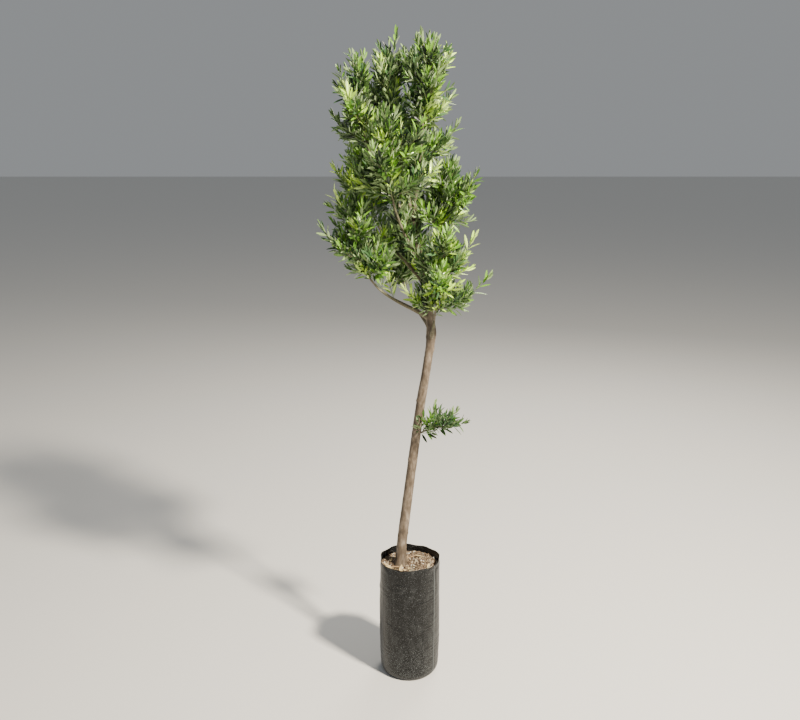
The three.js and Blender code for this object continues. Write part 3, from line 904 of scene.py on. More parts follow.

# %% [markdown]
# ## The film's finish
#
# Black polythene is pigmented with soot, so its own colour is nearly black and what the eye sees
# is its sheen: broad satin highlights along the folds. Months in a nursery leave pale dust and
# water spots, a little thicker towards the foot. Specks are about a millimetre across, drawn half
# as large again so that they show. Along the two creases a pale line is painted in as a highlight.

# %% Film material
height_of = add_node(film, "SeparateXYZ", {"Vector": add_node(film, "TexCoord").outputs["Object"]})
low_dust = add_node(film, "MapRange", {"Value": height_of.outputs["Z"], "From Min": 0.0,
                                       "From Max": 0.20, "To Min": 0.06, "To Max": 0.0})
speck_level = add_node(film, "Math", {0: grain(film, 1.9 * MM, 1.0), 1: low_dust.outputs["Result"]},
                       operation="ADD")
specks = add_node(film, "MapRange", {"Value": speck_level.outputs["Value"], "From Min": 0.66,
                                     "From Max": 0.73, "To Max": 0.95})
cloud_level = add_node(film, "Math", {0: grain(film, 22 * MM, 5.0, (1.0, 1.0, 1.8)),
                                      1: low_dust.outputs["Result"]}, operation="ADD")
clouds = add_node(film, "MapRange", {"Value": cloud_level.outputs["Value"], "From Min": 0.50,
                                     "From Max": 0.85, "To Max": 0.12})
dusty = add_node(film, "Math", {0: specks.outputs["Result"], 1: clouds.outputs["Result"]},
                 operation="MAXIMUM")
film_colour = add_node(film, "Mix", {MIX_SHARE: dusty.outputs["Value"], MIX_FIRST: colour("#08090b"),
                                     MIX_SECOND: colour("#868b8d")}, data_type="RGBA")
crease = add_node(film, "Attribute", attribute_name="crease").outputs["Fac"]
# Painted highlight: a pale line along the two creases of the flat tube.
crease_painted_highlight = add_node(film, "Math", {0: crease, 1: 0.45}, operation="MULTIPLY")
creased = add_node(film, "Mix", {MIX_SHARE: crease_painted_highlight.outputs["Value"], MIX_SECOND: colour("#8f9597"),
                                 MIX_FIRST: film_colour.outputs[MIX_RESULT]}, data_type="RGBA")
film_rough = add_node(film, "MapRange", {"Value": dusty.outputs["Value"], "To Min": 0.34, "To Max": 0.8})
film_bump = add_node(film, "Bump", {"Height": grain(film, 3.5 * MM, 2.0, (2.5, 2.5, 0.6)),
                                    "Strength": 0.35, "Distance": 0.5 * MM})
finish_material(film, add_node(film, "BsdfPrincipled", {
    "Base Color": creased.outputs[MIX_RESULT], "Roughness": film_rough.outputs["Result"], "IOR": 1.51,
    "Specular IOR Level": 0.26, "Normal": film_bump.outputs["Normal"]}))
print("film has", len(film.node_tree.nodes), "nodes")

# %% [markdown]
# ## Potting mix
#
# The mix is peat, bark fines and sand, dry and pale on top, with crumbs of every size, a few white
# grains and fallen leaves. One bumpy surface alone would look like cloth, so a relief surface
# carries the large lumps, and thousands of small angular crumbs lie on it. They are joined into
# one mesh.

# %% The soil's surface
SOIL_GAP = 0.0023
SOIL_SIDES = 200
SOIL_TOP_RINGS = 64
SOIL_DIP = 0.0035
DIPS_ACROSS = 70
DIPS_BACK = 90
LEVEL_ROUND_TRUNK = (0.030, 0.075)
LEVEL_AT_FILM = (0.004, 0.020)
MIX_LUMPS = [(1.9, 0.021, 21, 1.0), (1.1, 0.008, 22, 1.0), (0.6, 0.0035, 23, 1.0)]
MOUND_HEIGHT = 2.5
MOUND_SPREAD = 0.032
SOIL_FOOT = 0.0028
SOIL_FOOT_WIDTH_AT = 0.004
SOIL_FOOT_SHARES = (0.3, 0.7, 0.96)
SOIL_WALL_HEIGHTS = (0.014, 0.1, 0.2, 0.3, 0.39)
SMALLEST_RING = 0.012


def soil_height(x, y):
    """The top of the mix: the solid's gentle dips, lumps at three sizes, a low mound at the trunk
    and level at the film."""
    place = np.stack([x, y, 0 * x], axis=-1)
    from_foot = np.hypot(x - FOOT_X, y)
    from_film = BAG_RADIUS - np.hypot(x, y)
    dips = 1 + np.sin(DIPS_ACROSS * x + 1) * np.cos(DIPS_BACK * y)
    dips = dips * smoothstep(from_foot, *LEVEL_ROUND_TRUNK)
    edge = smoothstep(from_film, *LEVEL_AT_FILM)
    mound = MOUND_HEIGHT * np.exp(-(from_foot / MOUND_SPREAD) ** 2)
    return SOIL_TOP - edge * SOIL_DIP * dips + MM * (edge * layers(place, MIX_LUMPS) + mound)


def soil_ring(radius, z, angle):
    """A ring of the mix inside the bag's own folds."""
    size = radius * bag_folds(angle, 0 * angle)
    x, y = size * np.cos(angle), size * np.sin(angle)
    return np.stack([x, y, soil_height(x, y) if z is None else np.full_like(x, z)], axis=-1)


angle = np.arange(SOIL_SIDES) * TURN / SOIL_SIDES
soil_radius = bag_outer(SOIL_TOP) - SOIL_GAP
foot_radius = bag_outer(SOIL_FOOT_WIDTH_AT) - SOIL_GAP
top_shares = np.linspace(1, SMALLEST_RING, SOIL_TOP_RINGS)
soil_rows = [soil_ring(share * foot_radius, SOIL_FOOT, angle) for share in SOIL_FOOT_SHARES]
soil_rows += [soil_ring(bag_outer(z) - SOIL_GAP, z, angle) for z in SOIL_WALL_HEIGHTS]
soil_rows += [soil_ring(soil_radius * share, None, angle) for share in top_shares]
corners, faces = close_grid(np.stack(soil_rows), len(soil_rows), SOIL_SIDES)
mix = blank_material("Potting mix, dry on top")
soil_piece = make_piece("soil_surface", corners, faces, [mix])
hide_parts("soil")

# %% Crumbs, grit and white grains
CRUMBS = 3000
CRUMB_SEED = 5
CRUMB_SMALL = 0.0007
CRUMB_SPREAD = 0.0011
CRUMB_LARGEST = 3
CRUMB_SUNK = 0.35
CRUMB_FROM_FILM = 0.003
CRUMB_SHARP = 20
LEAST_SIDE = 0.6
SIDE_SCATTER = 0.7
LEAST_CORNER = 0.8
CORNER_SCATTER = 0.4
LONGEST_EDGE = 2.1
CRUMB_KINDS = [("peat", "#4a3c2f", 0.4), ("bark fines", "#6e5c4a", 0.33), ("sand", "#9b8c76", 0.2),
               ("white grains", "#d5d1c6", 0.07)]


def scatter(rng, count, reach):
    """Places spread evenly over a disc: reach times the root of a random number, at a random
    bearing."""
    away = reach * np.sqrt(rng.random(count))
    bearing = TURN * rng.random(count)
    return away * np.cos(bearing), away * np.sin(bearing)


def random_frames(rng, count):
    """Three unit vectors square to each other, turned at random, for each of count things."""
    first = unit(rng.normal(size=(count, 3)))
    second = unit(np.cross(first, rng.normal(size=(count, 3))))
    return np.stack([first, second, np.cross(first, second)], axis=1)


def twenty_faces():
    """An icosahedron's twelve corners, from the golden ratio, and its twenty faces. Corners that
    share an edge are 2 apart, and all others are further apart than LONGEST_EDGE."""
    golden = (1 + math.sqrt(5)) / 2
    corners = np.array([(a, b * golden, 0) for a in (-1, 1) for b in (-1, 1)])
    corners = np.concatenate([np.roll(corners, turn, axis=1) for turn in range(3)])
    apart = np.linalg.norm(corners[:, None] - corners, axis=2)
    faces = []
    for i, j, k in product(range(len(corners)), repeat=3):
        if i > j > k and max(apart[i, j], apart[j, k], apart[k, i]) < LONGEST_EDGE:
            normal = np.cross(corners[j] - corners[i], corners[k] - corners[i])
            faces.append((i, j, k) if normal @ corners[i] > 0 else (i, k, j))
    return corners / math.hypot(1, golden), np.array(faces)


rng = np.random.default_rng(CRUMB_SEED)
ball, ball_faces = twenty_faces()
x, y = scatter(rng, CRUMBS, soil_radius - CRUMB_FROM_FILM)
clear = np.hypot(x - FOOT_X, y) > FOOT_RADIUS + ROOT_FLARE
x, y = x[clear], y[clear]
size = CRUMB_SMALL + CRUMB_SPREAD * rng.exponential(size=len(x)).clip(0, CRUMB_LARGEST)
shape = size[:, None, None] * (LEAST_SIDE + SIDE_SCATTER * rng.random((len(x), 1, 3)))
worn_down = LEAST_CORNER + CORNER_SCATTER * rng.random((len(x), len(ball), 1))
corners = (ball * shape * worn_down) @ random_frames(rng, len(x))
corners += np.stack([x, y, soil_height(x, y) + CRUMB_SUNK * size], axis=-1)[:, None]
faces = (ball_faces + len(ball) * np.arange(len(x))[:, None, None]).reshape(-1, 3)
crumb_tones = rng.choice(len(CRUMB_KINDS), size=len(x), p=[share for _, _, share in CRUMB_KINDS])
crumb_paints = [plain_paint("Potting mix, " + name, code, {"Roughness": 0.95})
                for name, code, _ in CRUMB_KINDS]
crumb_piece = make_piece("soil_crumbs", corners.reshape(-1, 3), [faces], crumb_paints,
                         tones=np.repeat(crumb_tones, len(ball_faces)), sharp=CRUMB_SHARP)
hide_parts("soil")

# %% Soil material
mix_colour = add_node(mix, "ValToRGB", {"Fac": grain(mix, 5 * MM, 6.0)},
                      stops=[(0.32, "#43362a"), (0.5, "#6a5a49"), (0.66, "#8b7b66")])
mix_bump = add_node(mix, "Bump", {"Height": grain(mix, 1.3 * MM, 3.0), "Strength": 0.8,
                                  "Distance": 0.8 * MM})
finish_material(mix, add_node(mix, "BsdfPrincipled", {
    "Base Color": mix_colour.outputs["Color"], "Roughness": 0.97, "Normal": mix_bump.outputs["Normal"]}))
print("potting mix has", len(mix.node_tree.nodes), "nodes")

# %% [markdown]
# ## A leaf
#
# An olive leaf is a stiff narrow lance, dark and waxy above and silvery with fine scales below. It
# is folded a little along its midrib and bent a little along its length. Thousands are needed, so
# each has only thirty-two triangles: an upper and a lower face that meet at the outline, with the
# rib between them. The two faces have plain colours of their own.

# %% The leaf's shape
LEAF_LENGTH = 0.043
LEAF_WIDTH = 0.0089
LEAF_THICK = 0.0005
LEAF_FOLD = 0.20
LEAF_STATIONS = np.array([0.12, 0.36, 0.64, 0.88])
LEAF_FULLNESS = 0.8
LEAF_STALK = 0.3


def leaf_plan():
    """A leaf's corners as (along, aside, rib) and its faces. The half width at a share u of the
    length is (1 - (2u - 1)^2)^LEAF_FULLNESS, narrowed to a stalk by a smoothstep below
    u = LEAF_STALK."""
    count = len(LEAF_STATIONS)
    half = (1 - (2 * LEAF_STATIONS - 1) ** 2) ** LEAF_FULLNESS * smoothstep(LEAF_STATIONS, 0, LEAF_STALK)
    none = np.zeros(count)
    edge = np.stack([LEAF_STATIONS, half, none], axis=1)
    crest = np.stack([LEAF_STATIONS, none, none + 0.5], axis=1)
    corners = np.concatenate([[[0, 0, 0]], edge, crest, edge * [1, -1, 1], [[1, 0, 0]],
                              crest * [1, 1, -1]])
    left, rib, right = 1, 1 + count, 1 + 2 * count
    tip, under = 1 + 3 * count, 2 + 3 * count
    steps = range(count - 1)
    end = count - 1
    top4 = [(right + i, right + i + 1, rib + i + 1, rib + i) for i in steps]
    top4 += [(rib + i, rib + i + 1, left + i + 1, left + i) for i in steps]
    top3 = [(0, right, rib), (0, rib, left), (right + end, tip, rib + end), (rib + end, tip, left + end)]
    below = {rib + i: under + i for i in range(count)}
    low4, low3 = ([tuple(below.get(c, c) for c in reversed(face)) for face in top]
                  for top in (top4, top3))
    return corners, np.array(top4 + low4), np.array(top3 + low3)


LEAF_CORNERS, LEAF_QUADS, LEAF_TRIANGLES = leaf_plan()


def leaf_points(root, ahead, face, length, width, bend):
    """All leaves' corners at once: root + ahead along + side aside + face (fold + thickness - bend
    along^2). Each argument holds one row a leaf."""
    along, aside, rib = LEAF_CORNERS.T
    side = np.cross(face, ahead)
    lift = (LEAF_FOLD * np.abs(aside) * width[:, None] + LEAF_THICK * rib
            - bend[:, None] * along ** 2 * length[:, None])
    reach = along * length[:, None]
    return (root[:, None] + ahead[:, None] * reach[..., None]
            + side[:, None] * (aside * width[:, None] / 2)[..., None] + face[:, None] * lift[..., None])


def leaf_faces(count):
    """Faces of count leaves, quads first, and True for those that look up."""
    start = len(LEAF_CORNERS) * np.arange(count)[:, None, None]
    quads = (LEAF_QUADS + start).reshape(-1, 4)
    triangles = (LEAF_TRIANGLES + start).reshape(-1, 3)
    upper4 = np.arange(len(LEAF_QUADS)) < len(LEAF_QUADS) // 2
    upper3 = np.arange(len(LEAF_TRIANGLES)) < len(LEAF_TRIANGLES) // 2
    return [quads, triangles], (upper4, upper3)


def leaf_tones(tones, under, uppers):
    """A material number for each face: the leaf's tone above, and its underside's below."""
    return np.concatenate([np.where(upper, tones[:, None], under[:, None]).ravel() for upper in uppers])


print("a leaf has", len(LEAF_CORNERS), "corners")

# %% [markdown]
# ## Leaf colours
#
# New growth is yellow green and last year's leaves are olive to grey green. Sprays deep in the
# crown take more of the darkest tones: partly the older leaves' own deeper green, partly painted
# shade. The wax gives the upper face a low satin sheen. The underside's scales make it pale and
# dull. A whole spray shares one tone, as it grew in one season.

# %% Leaf materials
UPPER_TONES = [("new", "#b4dc48"), ("fresh", "#6b9a2c"), ("olive", "#3c5f1c"), ("grey", "#3a5d32"),
               ("dark", "#1b3511"), ("oldest_and_shaded", "#122413")]
UNDER_TONES = [("new", "#c6e57a"), ("silver", "#7d9860")]
leaf_paints = []
for side, finish, tones in (("upper face, waxed", {"Roughness": 0.40, "Coat Weight": 0.15}, UPPER_TONES),
                            ("underside, scaled", {"Roughness": 0.8, "Sheen Weight": 0.2}, UNDER_TONES)):
    leaf_paints += [plain_paint(f"Olive leaf, {name}, {side}", code, finish) for name, code in tones]
NEW_UNDER = len(UPPER_TONES)
SILVER_UNDER = NEW_UNDER + 1

GREY_BARK, GREEN_SHOOT = 0, 1
twig_paints = [plain_paint("Olive twig, " + name, code, {"Roughness": 0.75})
               for name, code in (("grey bark", "#6a6152"), ("green shoot", "#7d8756"))]
print("leaf tones:", len(leaf_paints))

# %% [markdown]
# ## Twigs by the solids' rule
#
# Inside each mass one stem goes on from its bough's tip, and at its nodes side twigs stand in
# opposite pairs, each pair a quarter turn on from the last. Low on the stem they spread, and near
# its tip they stand up. That is how an olive branches. The rule, its seeded numbers and its tests
# are those of the solids, so every twig here lies where a solid twig lies. Each large leaf of the
# solids then stands for a spray of real leaves.

# %% Twigs
STEM_SIDEWAYS = 0.2
STEM_TOP = 0.55
STEM_BEND = 0.45
NODE_SPACING = 0.056
FIRST_NODE = 0.75
PAST_LAST_NODE = 0.25
TWIG_RUN = 0.86
LESS_RUN_AT_TOP = 0.28
TWIG_RISE = 0.38
MORE_RISE_AT_TOP = 0.42
BEND_RUN = 0.65
BEND_RISE = 0.4
TWIG_SWING = 0.4
SHORTEST_TWIG = 0.55
TWIG_SCATTER = 0.35
TWIG_SHARES = (1, 0.8, 0.6, 0.4, 0.25)
SHOOT_LENGTH = 1.2
SHOOT_BEND = (0.45, 0.55)
SHOOT_LIFT = 0.12
LIMB_STRIDE = 6
TWIG_TEST_STRIDE = 24
SMALL_LEAF = 0.6
TWIG_ROOM = 0.0032
SOLID_LEAF = 0.098
LIMB_ROOM = 0.0044


def clear_of_limbs(points, room):
    """True where points lie further from every limb's middle than its radius and some room."""
    clear = np.ones(len(points), bool)
    for limb in limbs:
        line, radius = limb.line[::LIMB_STRIDE], limb.radius[::LIMB_STRIDE]
        away = np.linalg.norm(points[:, None] - line, axis=2) - radius
        clear &= away.min(axis=1) > room
    return clear


def side_twig(mass, root, outward, reach, rise):
    """A side twig slopes outwards and turns up, the more the nearer its rise is to 1. It is cut
    back until it and its last leaf fit."""
    out = TWIG_RUN - LESS_RUN_AT_TOP * rise
    lift = TWIG_RISE + MORE_RISE_AT_TOP * rise
    for share in TWIG_SHARES:
        length = reach * share
        bend = root + (outward * BEND_RUN * out + UP * BEND_RISE * lift) * length
        end = root + (outward * out + UP * lift) * length
        line = bezier(root, bend, end)
        leaf_size = SMALL_LEAF + (1 - SMALL_LEAF) * share
        leaf_tip = end + heading_at(line, 1.0) * SOLID_LEAF * leaf_size
        fits = is_inside(mass, np.array([bend, end, leaf_tip]), TWIG_ROOM).all()
        if fits and clear_of_limbs(line[::TWIG_TEST_STRIDE], LIMB_ROOM).all():
            return line
    return None


def grow_twigs(mass):
    """A mass's stem, and the side twigs at its nodes."""
    sideways = mass.heading * [1, 1, 0] * STEM_SIDEWAYS * mass.radii[0]
    tip = mass.centre + sideways + UP * STEM_TOP * mass.radii[2]
    reach = np.linalg.norm(tip - mass.start)
    stem = bezier(mass.start, mass.start + mass.heading * STEM_BEND * reach, tip)
    nodes = max(2, round(length_of(stem) / NODE_SPACING))
    twigs = []
    for node in range(nodes):
        root = point_at(stem, (node + FIRST_NODE) / (nodes + PAST_LAST_NODE))
        for side in (0, 1):
            swing = TWIG_SWING * (chance(mass.number, node, 3 + side) - 0.5)
            bearing = TURN * (node / 4 + side / 2) + mass.number + swing
            outward = np.array([math.cos(bearing), math.sin(bearing), 0.0])
            length = mass.radii[0] * (SHORTEST_TWIG + TWIG_SCATTER * chance(mass.number, node, 5 + side))
            line = side_twig(mass, root, outward, length, node / (nodes - 1))
            if line is not None:
                twigs.append(line)
    return stem, twigs


def shoot_twig(mass):
    """The trunk's own shoot is one twig that bends over a little."""
    tip = mass.start + mass.heading * SHOOT_LENGTH * SHOOT_REACH
    bend = mass.start * SHOOT_BEND[0] + tip * SHOOT_BEND[1] + UP * SHOOT_LIFT * SHOOT_REACH
    return bezier(mass.start, bend, tip)


for mass in [*tier_masses, top_mass]:
    mass.stem, mass.twigs = grow_twigs(mass)
shoot_mass.stem, shoot_mass.twigs = shoot_twig(shoot_mass), []
print("side twigs:", {mass.name: len(mass.twigs) for mass in masses})

# %% [markdown]
# ## Sprays
#
# A spray is a slender shoot with pairs of leaves, each pair a quarter turn on from the last. The
# leaves are small and pressed up at its tip, and stand open lower down, with their upper faces
# turned to the shoot. All sprays of a mass are worked out at once. A spray that would leave the
# mass's space is made shorter, and a leaf whose tip would leave it is dropped, so the crown keeps
# its outline and its gaps. Only across the flat borders may they reach a little way, as the shoots
# of two boughs do where they meet. Inside the crown, short leafy spurs stand on the boughs and the
# leader too, which on a young olive are bare only near their roots.

# %% Sprays
SPRAY_LENGTH = 0.078
SPRAY_SPACING = 0.0118
PAIR_SPACING = 0.0102
WHIP_STRETCH = 1.35
SPRAY_PAIRS = 11
SPRAY_SHARES = (1.0, 0.8, 0.6, 0.4)
SPRAY_STEPS = 7
SPRAY_BEND = 0.5
SPRAY_RUN = 0.94
SPRAY_LIFT = 0.16
SPRAY_NUDGE = np.array([1e-5, 0, 0])
STEM_STRETCH = (0.04, 0.92)
TWIG_STRETCH = (0.14, 0.86)
STEM_WHIP = 1.9
TWIG_WHIP = 1.55
PLACE_SCATTER = 0.6
ROLL_SCATTER = 0.25
SPRAY_LEAN = 58
LESS_LEAN_AT_TIP = 28
LEAN_SCATTER = 8
SPRAY_RISE = 0.46
LEAST_SPRAY = 0.55
SPRAY_SCATTER = 0.75
FEW_ARE_LONG = 1.5
SPRAY_AT_ROOT = 1.22
LESS_SPRAY_AT_TIP = 0.72
YOUNG_SPRAYS = 0.15
LEAF_BEYOND_TIP = 0.5
LIMB_TEST = 0.8
SPRAY_ROOM = 0.002
SPUR_SPACING = 0.020
SPUR_FROM = 0.30
SPUR_TO = 0.96
SPUR_SIZE = 0.95
CORE_REACH = 0.120
CORE_LOW = 1.02


def aside_from(ahead, roll):
    """Unit vectors square to ahead: level cos roll + over sin roll, where over is square to both."""
    level = unit(np.cross(ahead, UP) + SPRAY_NUDGE)
    return level * np.cos(roll)[:, None] + np.cross(ahead, level) * np.sin(roll)[:, None]


def leaning(ahead, aside, degrees, rise):
    """Headings that lean from ahead towards aside by so many degrees, and turn up by some rise."""
    lean = np.radians(degrees)[:, None]
    return unit(ahead * np.cos(lean) + aside * np.sin(lean) + UP * rise)


def spray_pairs(line, pairs, low, high, rng):
    """Sprays in opposite pairs along a stretch of a line, each pair a quarter turn on from the
    last, and shorter towards the tip. Gives roots, headings, sizes and True for a young one."""
    share = low + (high - low) * (np.arange(pairs) + PLACE_SCATTER * rng.random(pairs)) / pairs
    ahead = heading_at(line, share)
    roll = TURN * (np.arange(pairs) / 4 + rng.random()) + rng.normal(scale=ROLL_SCATTER, size=pairs)
    aside = aside_from(ahead, roll)
    lean = SPRAY_LEAN - LESS_LEAN_AT_TIP * share + rng.normal(scale=LEAN_SCATTER, size=pairs)
    made = []
    for way in (1, -1):
        heading = leaning(ahead, way * aside, lean, SPRAY_RISE)
        size = LEAST_SPRAY + SPRAY_SCATTER * rng.random(pairs) ** FEW_ARE_LONG
        size = size * (SPRAY_AT_ROOT - LESS_SPRAY_AT_TIP * share)
        made.append((point_at(line, share), heading, size, rng.random(pairs) < YOUNG_SPRAYS))
    return made


def spray_roots(mass, rng):
    """Where sprays stand on the stem and twigs: opposite pairs, and a long one in line with each
    tip, with bare room round it, so that each twig runs out in a shoot."""
    made = []
    for line in [mass.stem, *mass.twigs]:
        pairs = max(2, round(length_of(line) / SPRAY_SPACING))
        is_stem = line is mass.stem
        made += spray_pairs(line, pairs, *(STEM_STRETCH if is_stem else TWIG_STRETCH), rng)
        whip = np.array([STEM_WHIP if is_stem else TWIG_WHIP])
        made.append((line[-1:], heading_at(line, 1.0)[None], whip, np.array([True])))
    return [np.concatenate(part) for part in zip(*made)]


def spur_roots(mass, rng):
    """Where short leafy spurs stand on the outer part of the limb that carries the mass."""
    pairs = max(2, round((SPUR_TO - SPUR_FROM) * length_of(mass.limb.line) / SPUR_SPACING))
    made = spray_pairs(mass.limb.line, pairs, SPUR_FROM, SPUR_TO, rng)
    roots, headings, sizes, tips = [np.concatenate(part) for part in zip(*made)]
    return roots, headings, sizes * SPUR_SIZE, tips


def in_core(points):
    """True inside the crown: near the line that it stands round, and above its lowest leaves."""
    height = points[..., 2] - SOIL_TOP
    return (np.linalg.norm(points - crown_axis(height), axis=-1) < CORE_REACH) & (height > CORE_LOW)


def fit_sprays(inside, roots, headings, sizes):
    """The length of each spray: the longest of a few shares whose tip stays in the space and off
    the limbs, or 0 where none does."""
    lengths = np.zeros(len(roots))
    for share in SPRAY_SHARES[::-1]:
        length = SPRAY_LENGTH * sizes * share
        tip = roots + headings * (length + LEAF_BEYOND_TIP * LEAF_LENGTH)[:, None]
        fits = inside(tip) & inside(roots + headings * length[:, None] / 2)
        fits &= clear_of_limbs(roots + headings * length[:, None] * LIMB_TEST, SPRAY_ROOM)
        lengths = np.where(fits, length, lengths)
    return lengths


def spray_lines(roots, headings, lengths):
    """Points along each spray: a quadratic curve that turns up towards its tip."""
    share = np.linspace(0, 1, SPRAY_STEPS)[:, None]
    bend = roots + headings * lengths[:, None] * SPRAY_BEND
    end = roots + headings * lengths[:, None] * SPRAY_RUN + UP * lengths[:, None] * SPRAY_LIFT
    return (roots[:, None] * (1 - share) ** 2 + bend[:, None] * 2 * share * (1 - share)
            + end[:, None] * share ** 2)


places = spray_roots(top_mass, np.random.default_rng(0))[0]
print("places for sprays in the topmost mass:", len(places))

# %% The leaves of a spray
NEARLY_ONE = 0.999
LAST_PAIR = 0.15
BARE_ROOT = 0.08
LEAF_ROLL_SCATTER = 0.3
TIP_LEAN = 14
MORE_LEAN = 10
MOST_LEAN = 52
LEAF_RISE = 0.20
FACE_SCATTER = 0.35
TIP_LEAF = 0.66
MORE_LEAF = 0.13
LARGEST_LEAF = 1.02
LEAST_LEAF = 0.85
LEAF_SCATTER = 0.3
STALK_TEST = 0.02
LEAF_ROOM = 0.001


def square_to(vectors, ahead):
    """Vectors without their part along ahead, as unit vectors."""
    return unit(vectors - ahead * (vectors * ahead).sum(axis=1, keepdims=True))


def spray_leaves(inside, rng, lines, lengths, leaf_size):
    """Every leaf of every spray, in pairs counted from the tip down, each a quarter turn on."""
    count = len(lines)
    rows = np.arange(count)
    spacing = PAIR_SPACING * np.where(lengths > SPRAY_LENGTH, WHIP_STRETCH, 1.0)
    parts = []
    for pair in range(SPRAY_PAIRS):
        share = 1 - (pair + LAST_PAIR) * spacing / lengths
        there = share > BARE_ROOT
        place = np.clip(share, 0, NEARLY_ONE) * (SPRAY_STEPS - 1)
        index = place.astype(int)
        part = (place - index)[:, None]
        root = lines[rows, index] * (1 - part) + lines[rows, index + 1] * part
        ahead = unit(lines[rows, index + 1] - lines[rows, index])
        roll = TURN * pair / 4 + rng.normal(scale=LEAF_ROLL_SCATTER, size=count)
        aside = aside_from(ahead, roll)
        lean = min(TIP_LEAN + MORE_LEAN * pair, MOST_LEAN)
        pair_size = leaf_size * min(TIP_LEAF + MORE_LEAF * pair, LARGEST_LEAF)
        for way in (1, -1):
            scattered = lean + rng.normal(scale=LEAN_SCATTER, size=count)
            heading = leaning(ahead, way * aside, scattered, LEAF_RISE)
            face = square_to(ahead + FACE_SCATTER * rng.normal(size=(count, 3)), heading)
            size = pair_size * (LEAST_LEAF + LEAF_SCATTER * rng.random(count))
            parts.append([values[there] for values in (root, heading, face, size, rows)])
    root, heading, face, size, spray = (np.concatenate(part) for part in zip(*parts))
    tip = root + heading * (LEAF_LENGTH * size)[:, None]
    kept = inside(tip) & clear_of_limbs(root + heading * STALK_TEST, LEAF_ROOM)
    return root[kept], heading[kept], face[kept], size[kept], spray[kept]


print("a spray has up to", 2 * SPRAY_PAIRS, "leaves")

# %% The crown's tones and meshes
STEM_TUBE = dict(radii=(0.0033, 0.0013), sides=8, tone=GREY_BARK)
TWIG_TUBE = dict(radii=(0.0019, 0.0010), sides=6, tone=GREY_BARK)
SPRAY_TUBE = dict(radii=(0.0010, 0.0005), sides=5, tone=GREEN_SHOOT)
STEM_STRIDE = 32
TWIG_STRIDE = 60
SPRAY_STRIDE = 2
LEAF_SHARP = 60
SPRAY_SEED = 100
SPUR_SEED = 300
SPRAY_OVERLAP = 0.024
SHOOT_LEAF = 0.95
LEAF_BEND = 0.05
BEND_SCATTER = 0.07
WIDTH_GROWTH = 0.7
CROWN_CORE = 0.13
# The inner shares lean to the two darkest tones: partly older leaves, partly painted shade inside the
# crown.
TONE_SHARES = {"tip": [0.32, 0.36, 0.20, 0.10, 0.02, 0.0],
               "outer": [0.07, 0.30, 0.32, 0.20, 0.08, 0.03],
               "inner": [0.0, 0.12, 0.28, 0.24, 0.23, 0.13],
               "shoot": [0.0, 0.10, 0.30, 0.50, 0.10, 0.0]}


def spray_tones(mass, rng, roots, tips):
    """A tone for each spray, from shares that differ at the tips, outside and inside the crown."""
    outside = np.linalg.norm(roots - crown_axis(roots[:, 2] - SOIL_TOP), axis=1) > CROWN_CORE
    pick = rng.random(len(roots))
    tone = np.zeros(len(roots), int)
    for kind, chosen in (("inner", ~outside & ~tips), ("outer", outside & ~tips), ("tip", tips)):
        shares = TONE_SHARES["shoot" if mass is shoot_mass else kind]
        tone[chosen] = np.searchsorted(np.cumsum(shares), pick[chosen] * NEARLY_ONE)
    return tone


def end_faces(tubes, rings, sides):
    """One flat face on each end of each tube."""
    first = np.arange(tubes)[:, None] * rings * sides
    low = first + np.arange(sides)[::-1]
    high = first + (rings - 1) * sides + np.arange(sides)
    return np.concatenate([low, high])


def tube_mesh(lines, radii, sides):
    """Corners and faces of many tapering tubes of the same number of rings, closed at both ends."""
    ahead = unit(np.gradient(lines, axis=1))
    across, over = frames_along(lines, ahead)
    share = np.linspace(0, 1, lines.shape[1])
    radius = np.broadcast_to(radii[0] + (radii[1] - radii[0]) * share, lines.shape[:2])
    points = rings_round(lines, across, over, radius[..., None], sides)
    tubes, rings = lines.shape[:2]
    return points.reshape(-1, 3), tube_faces(tubes, rings, sides), end_faces(tubes, rings, sides)


def join_tubes(name, groups):
    """One mesh of several groups of tubes, as (lines, kind of tube)."""
    corners, faces, tones, start = [], [], [], 0
    for lines, kind in groups:
        points, walls, ends = tube_mesh(lines, kind["radii"], kind["sides"])
        corners.append(points)
        faces += [walls + start, ends + start]
        tones.append(np.full(len(walls) + len(ends), kind["tone"]))
        start += len(points)
    return make_piece(name, np.concatenate(corners), faces, twig_paints,
                      tones=np.concatenate(tones))


def grow_sprays(mass, rng, placed, inside):
    """The lines of the sprays at some places, the corner points of their leaves and their tones."""
    leaf_size = SHOOT_LEAF if mass is shoot_mass else 1.0
    roots, headings, sizes, tips = placed
    lengths = fit_sprays(inside, roots, headings, sizes)
    kept = lengths > 0
    roots, headings, lengths, tips = roots[kept], headings[kept], lengths[kept], tips[kept]
    lines = spray_lines(roots, headings, lengths)
    root, heading, face, size, spray = spray_leaves(inside, rng, lines, lengths, leaf_size)
    bend = rng.normal(LEAF_BEND, BEND_SCATTER, len(root))
    width = LEAF_WIDTH * size ** WIDTH_GROWTH
    points = leaf_points(root, heading, face, LEAF_LENGTH * size, width, bend)
    return lines, points, spray_tones(mass, rng, roots, tips)[spray]


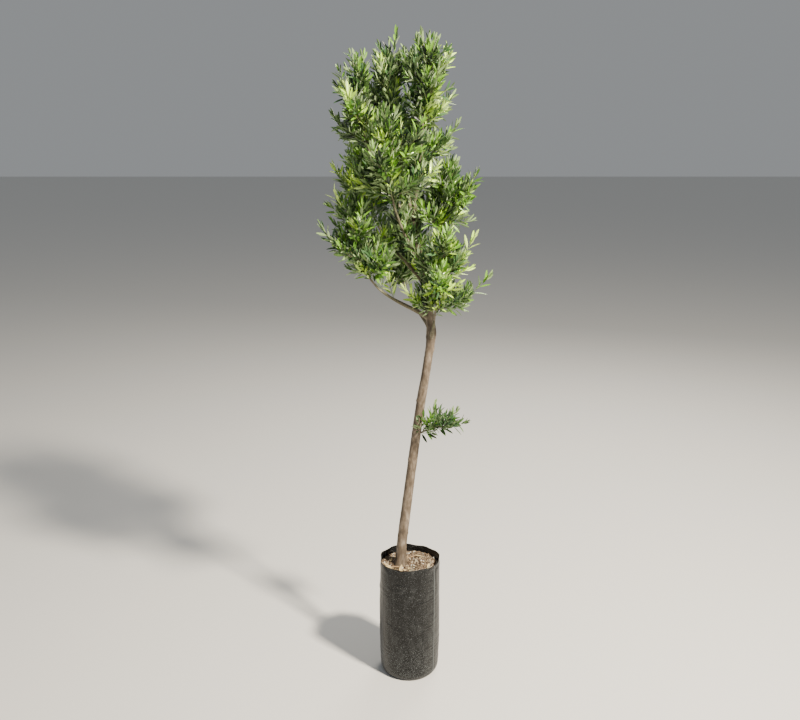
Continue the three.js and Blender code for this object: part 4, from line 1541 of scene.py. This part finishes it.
def grow_mass(mass):
    """Makes a mass's twigs and leaves, which together replace its solid, and the spurs on its limb."""
    rng = np.random.default_rng(SPRAY_SEED + mass.number)

    def in_own_space(points):
        """True in the mass's space, and a little way across its flat borders."""
        return is_inside(mass, points, -SPRAY_OVERLAP)

    grown = [grow_sprays(mass, rng, spray_roots(mass, rng), in_own_space)]
    if mass is not shoot_mass:
        rng = np.random.default_rng(SPUR_SEED + mass.number)
        grown.append(grow_sprays(mass, rng, spur_roots(mass, rng), in_core))
    lines, points, tone = [np.concatenate(part) for part in zip(*grown)]
    groups = [(mass.stem[None, ::STEM_STRIDE], STEM_TUBE), (lines[:, ::SPRAY_STRIDE], SPRAY_TUBE)]
    if mass.twigs:
        groups.append((np.stack(mass.twigs)[:, ::TWIG_STRIDE], TWIG_TUBE))
    twigs = join_tubes("twigs_" + mass.name, groups)
    under = np.where(tone == 0, NEW_UNDER, SILVER_UNDER)
    faces, uppers = leaf_faces(len(points))
    leaves = make_piece("leaves_" + mass.name, points.reshape(-1, 3), faces, leaf_paints,
                        tones=leaf_tones(tone, under, uppers), sharp=LEAF_SHARP)
    for piece in (twigs, leaves):
        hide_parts("foliage_" + mass.name)
    return len(points)


counts = [grow_mass(mass) for mass in masses]
print("leaves in the crown:", sum(counts))

# %% [markdown]
# ## Fallen leaves
#
# Dry leaves lie on the mix, straw coloured and curled. They are the same leaf, bent more, laid
# almost flat at random places between the trunk and the film.

# %% Fallen leaves
FALLEN = 46
FALLEN_SEED = 9
DRY_TONES = [("straw", "#b7a37a"), ("tan", "#93795a"), ("grey", "#8b8371")]
DRY_LENGTH = 0.036
SHORTEST_DRY = 0.7
DRY_SCATTER = 0.5
DRY_WIDTH = 0.26
DRY_SLOPE = 0.10
DRY_TILT = 0.25
DRY_BEND = 0.16
DRY_LIFT = 0.0028
ROOT_FROM_FILM = 0.022
TIP_FROM_FILM = 0.005
MIDDLE_FROM_TRUNK = 0.034

rng = np.random.default_rng(FALLEN_SEED)
x, y = scatter(rng, FALLEN, soil_radius - ROOT_FROM_FILM)
turned = TURN * rng.random(FALLEN)
heading = np.stack([np.cos(turned), np.sin(turned), rng.normal(0, DRY_SLOPE, FALLEN)], axis=1)
length = DRY_LENGTH * (SHORTEST_DRY + DRY_SCATTER * rng.random(FALLEN))
tip_x, tip_y = x + heading[:, 0] * length, y + heading[:, 1] * length
middle_x, middle_y = x + heading[:, 0] * length / 2, y + heading[:, 1] * length / 2
fits = np.hypot(tip_x, tip_y) < soil_radius - TIP_FROM_FILM
fits &= np.hypot(middle_x - FOOT_X, middle_y) > MIDDLE_FROM_TRUNK
x, y, heading, length = x[fits], y[fits], unit(heading[fits]), length[fits]
up_face = square_to(unit(UP + rng.normal(0, DRY_TILT, (len(x), 3))), heading)
root = np.stack([x, y, soil_height(x, y) + DRY_LIFT], axis=1)
bend = rng.normal(0.0, DRY_BEND, len(x))
points = leaf_points(root, heading, up_face, length, DRY_WIDTH * length, bend)
faces, uppers = leaf_faces(len(x))
dry_paints = [plain_paint("Dry olive leaf, " + name, code, {"Roughness": 0.85})
              for name, code in DRY_TONES]
tone = rng.integers(0, len(DRY_TONES), len(x))
litter = make_piece("fallen_leaves", points.reshape(-1, 3), faces, dry_paints,
                    tones=leaf_tones(tone, tone, uppers), sharp=LEAF_SHARP)
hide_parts("soil")
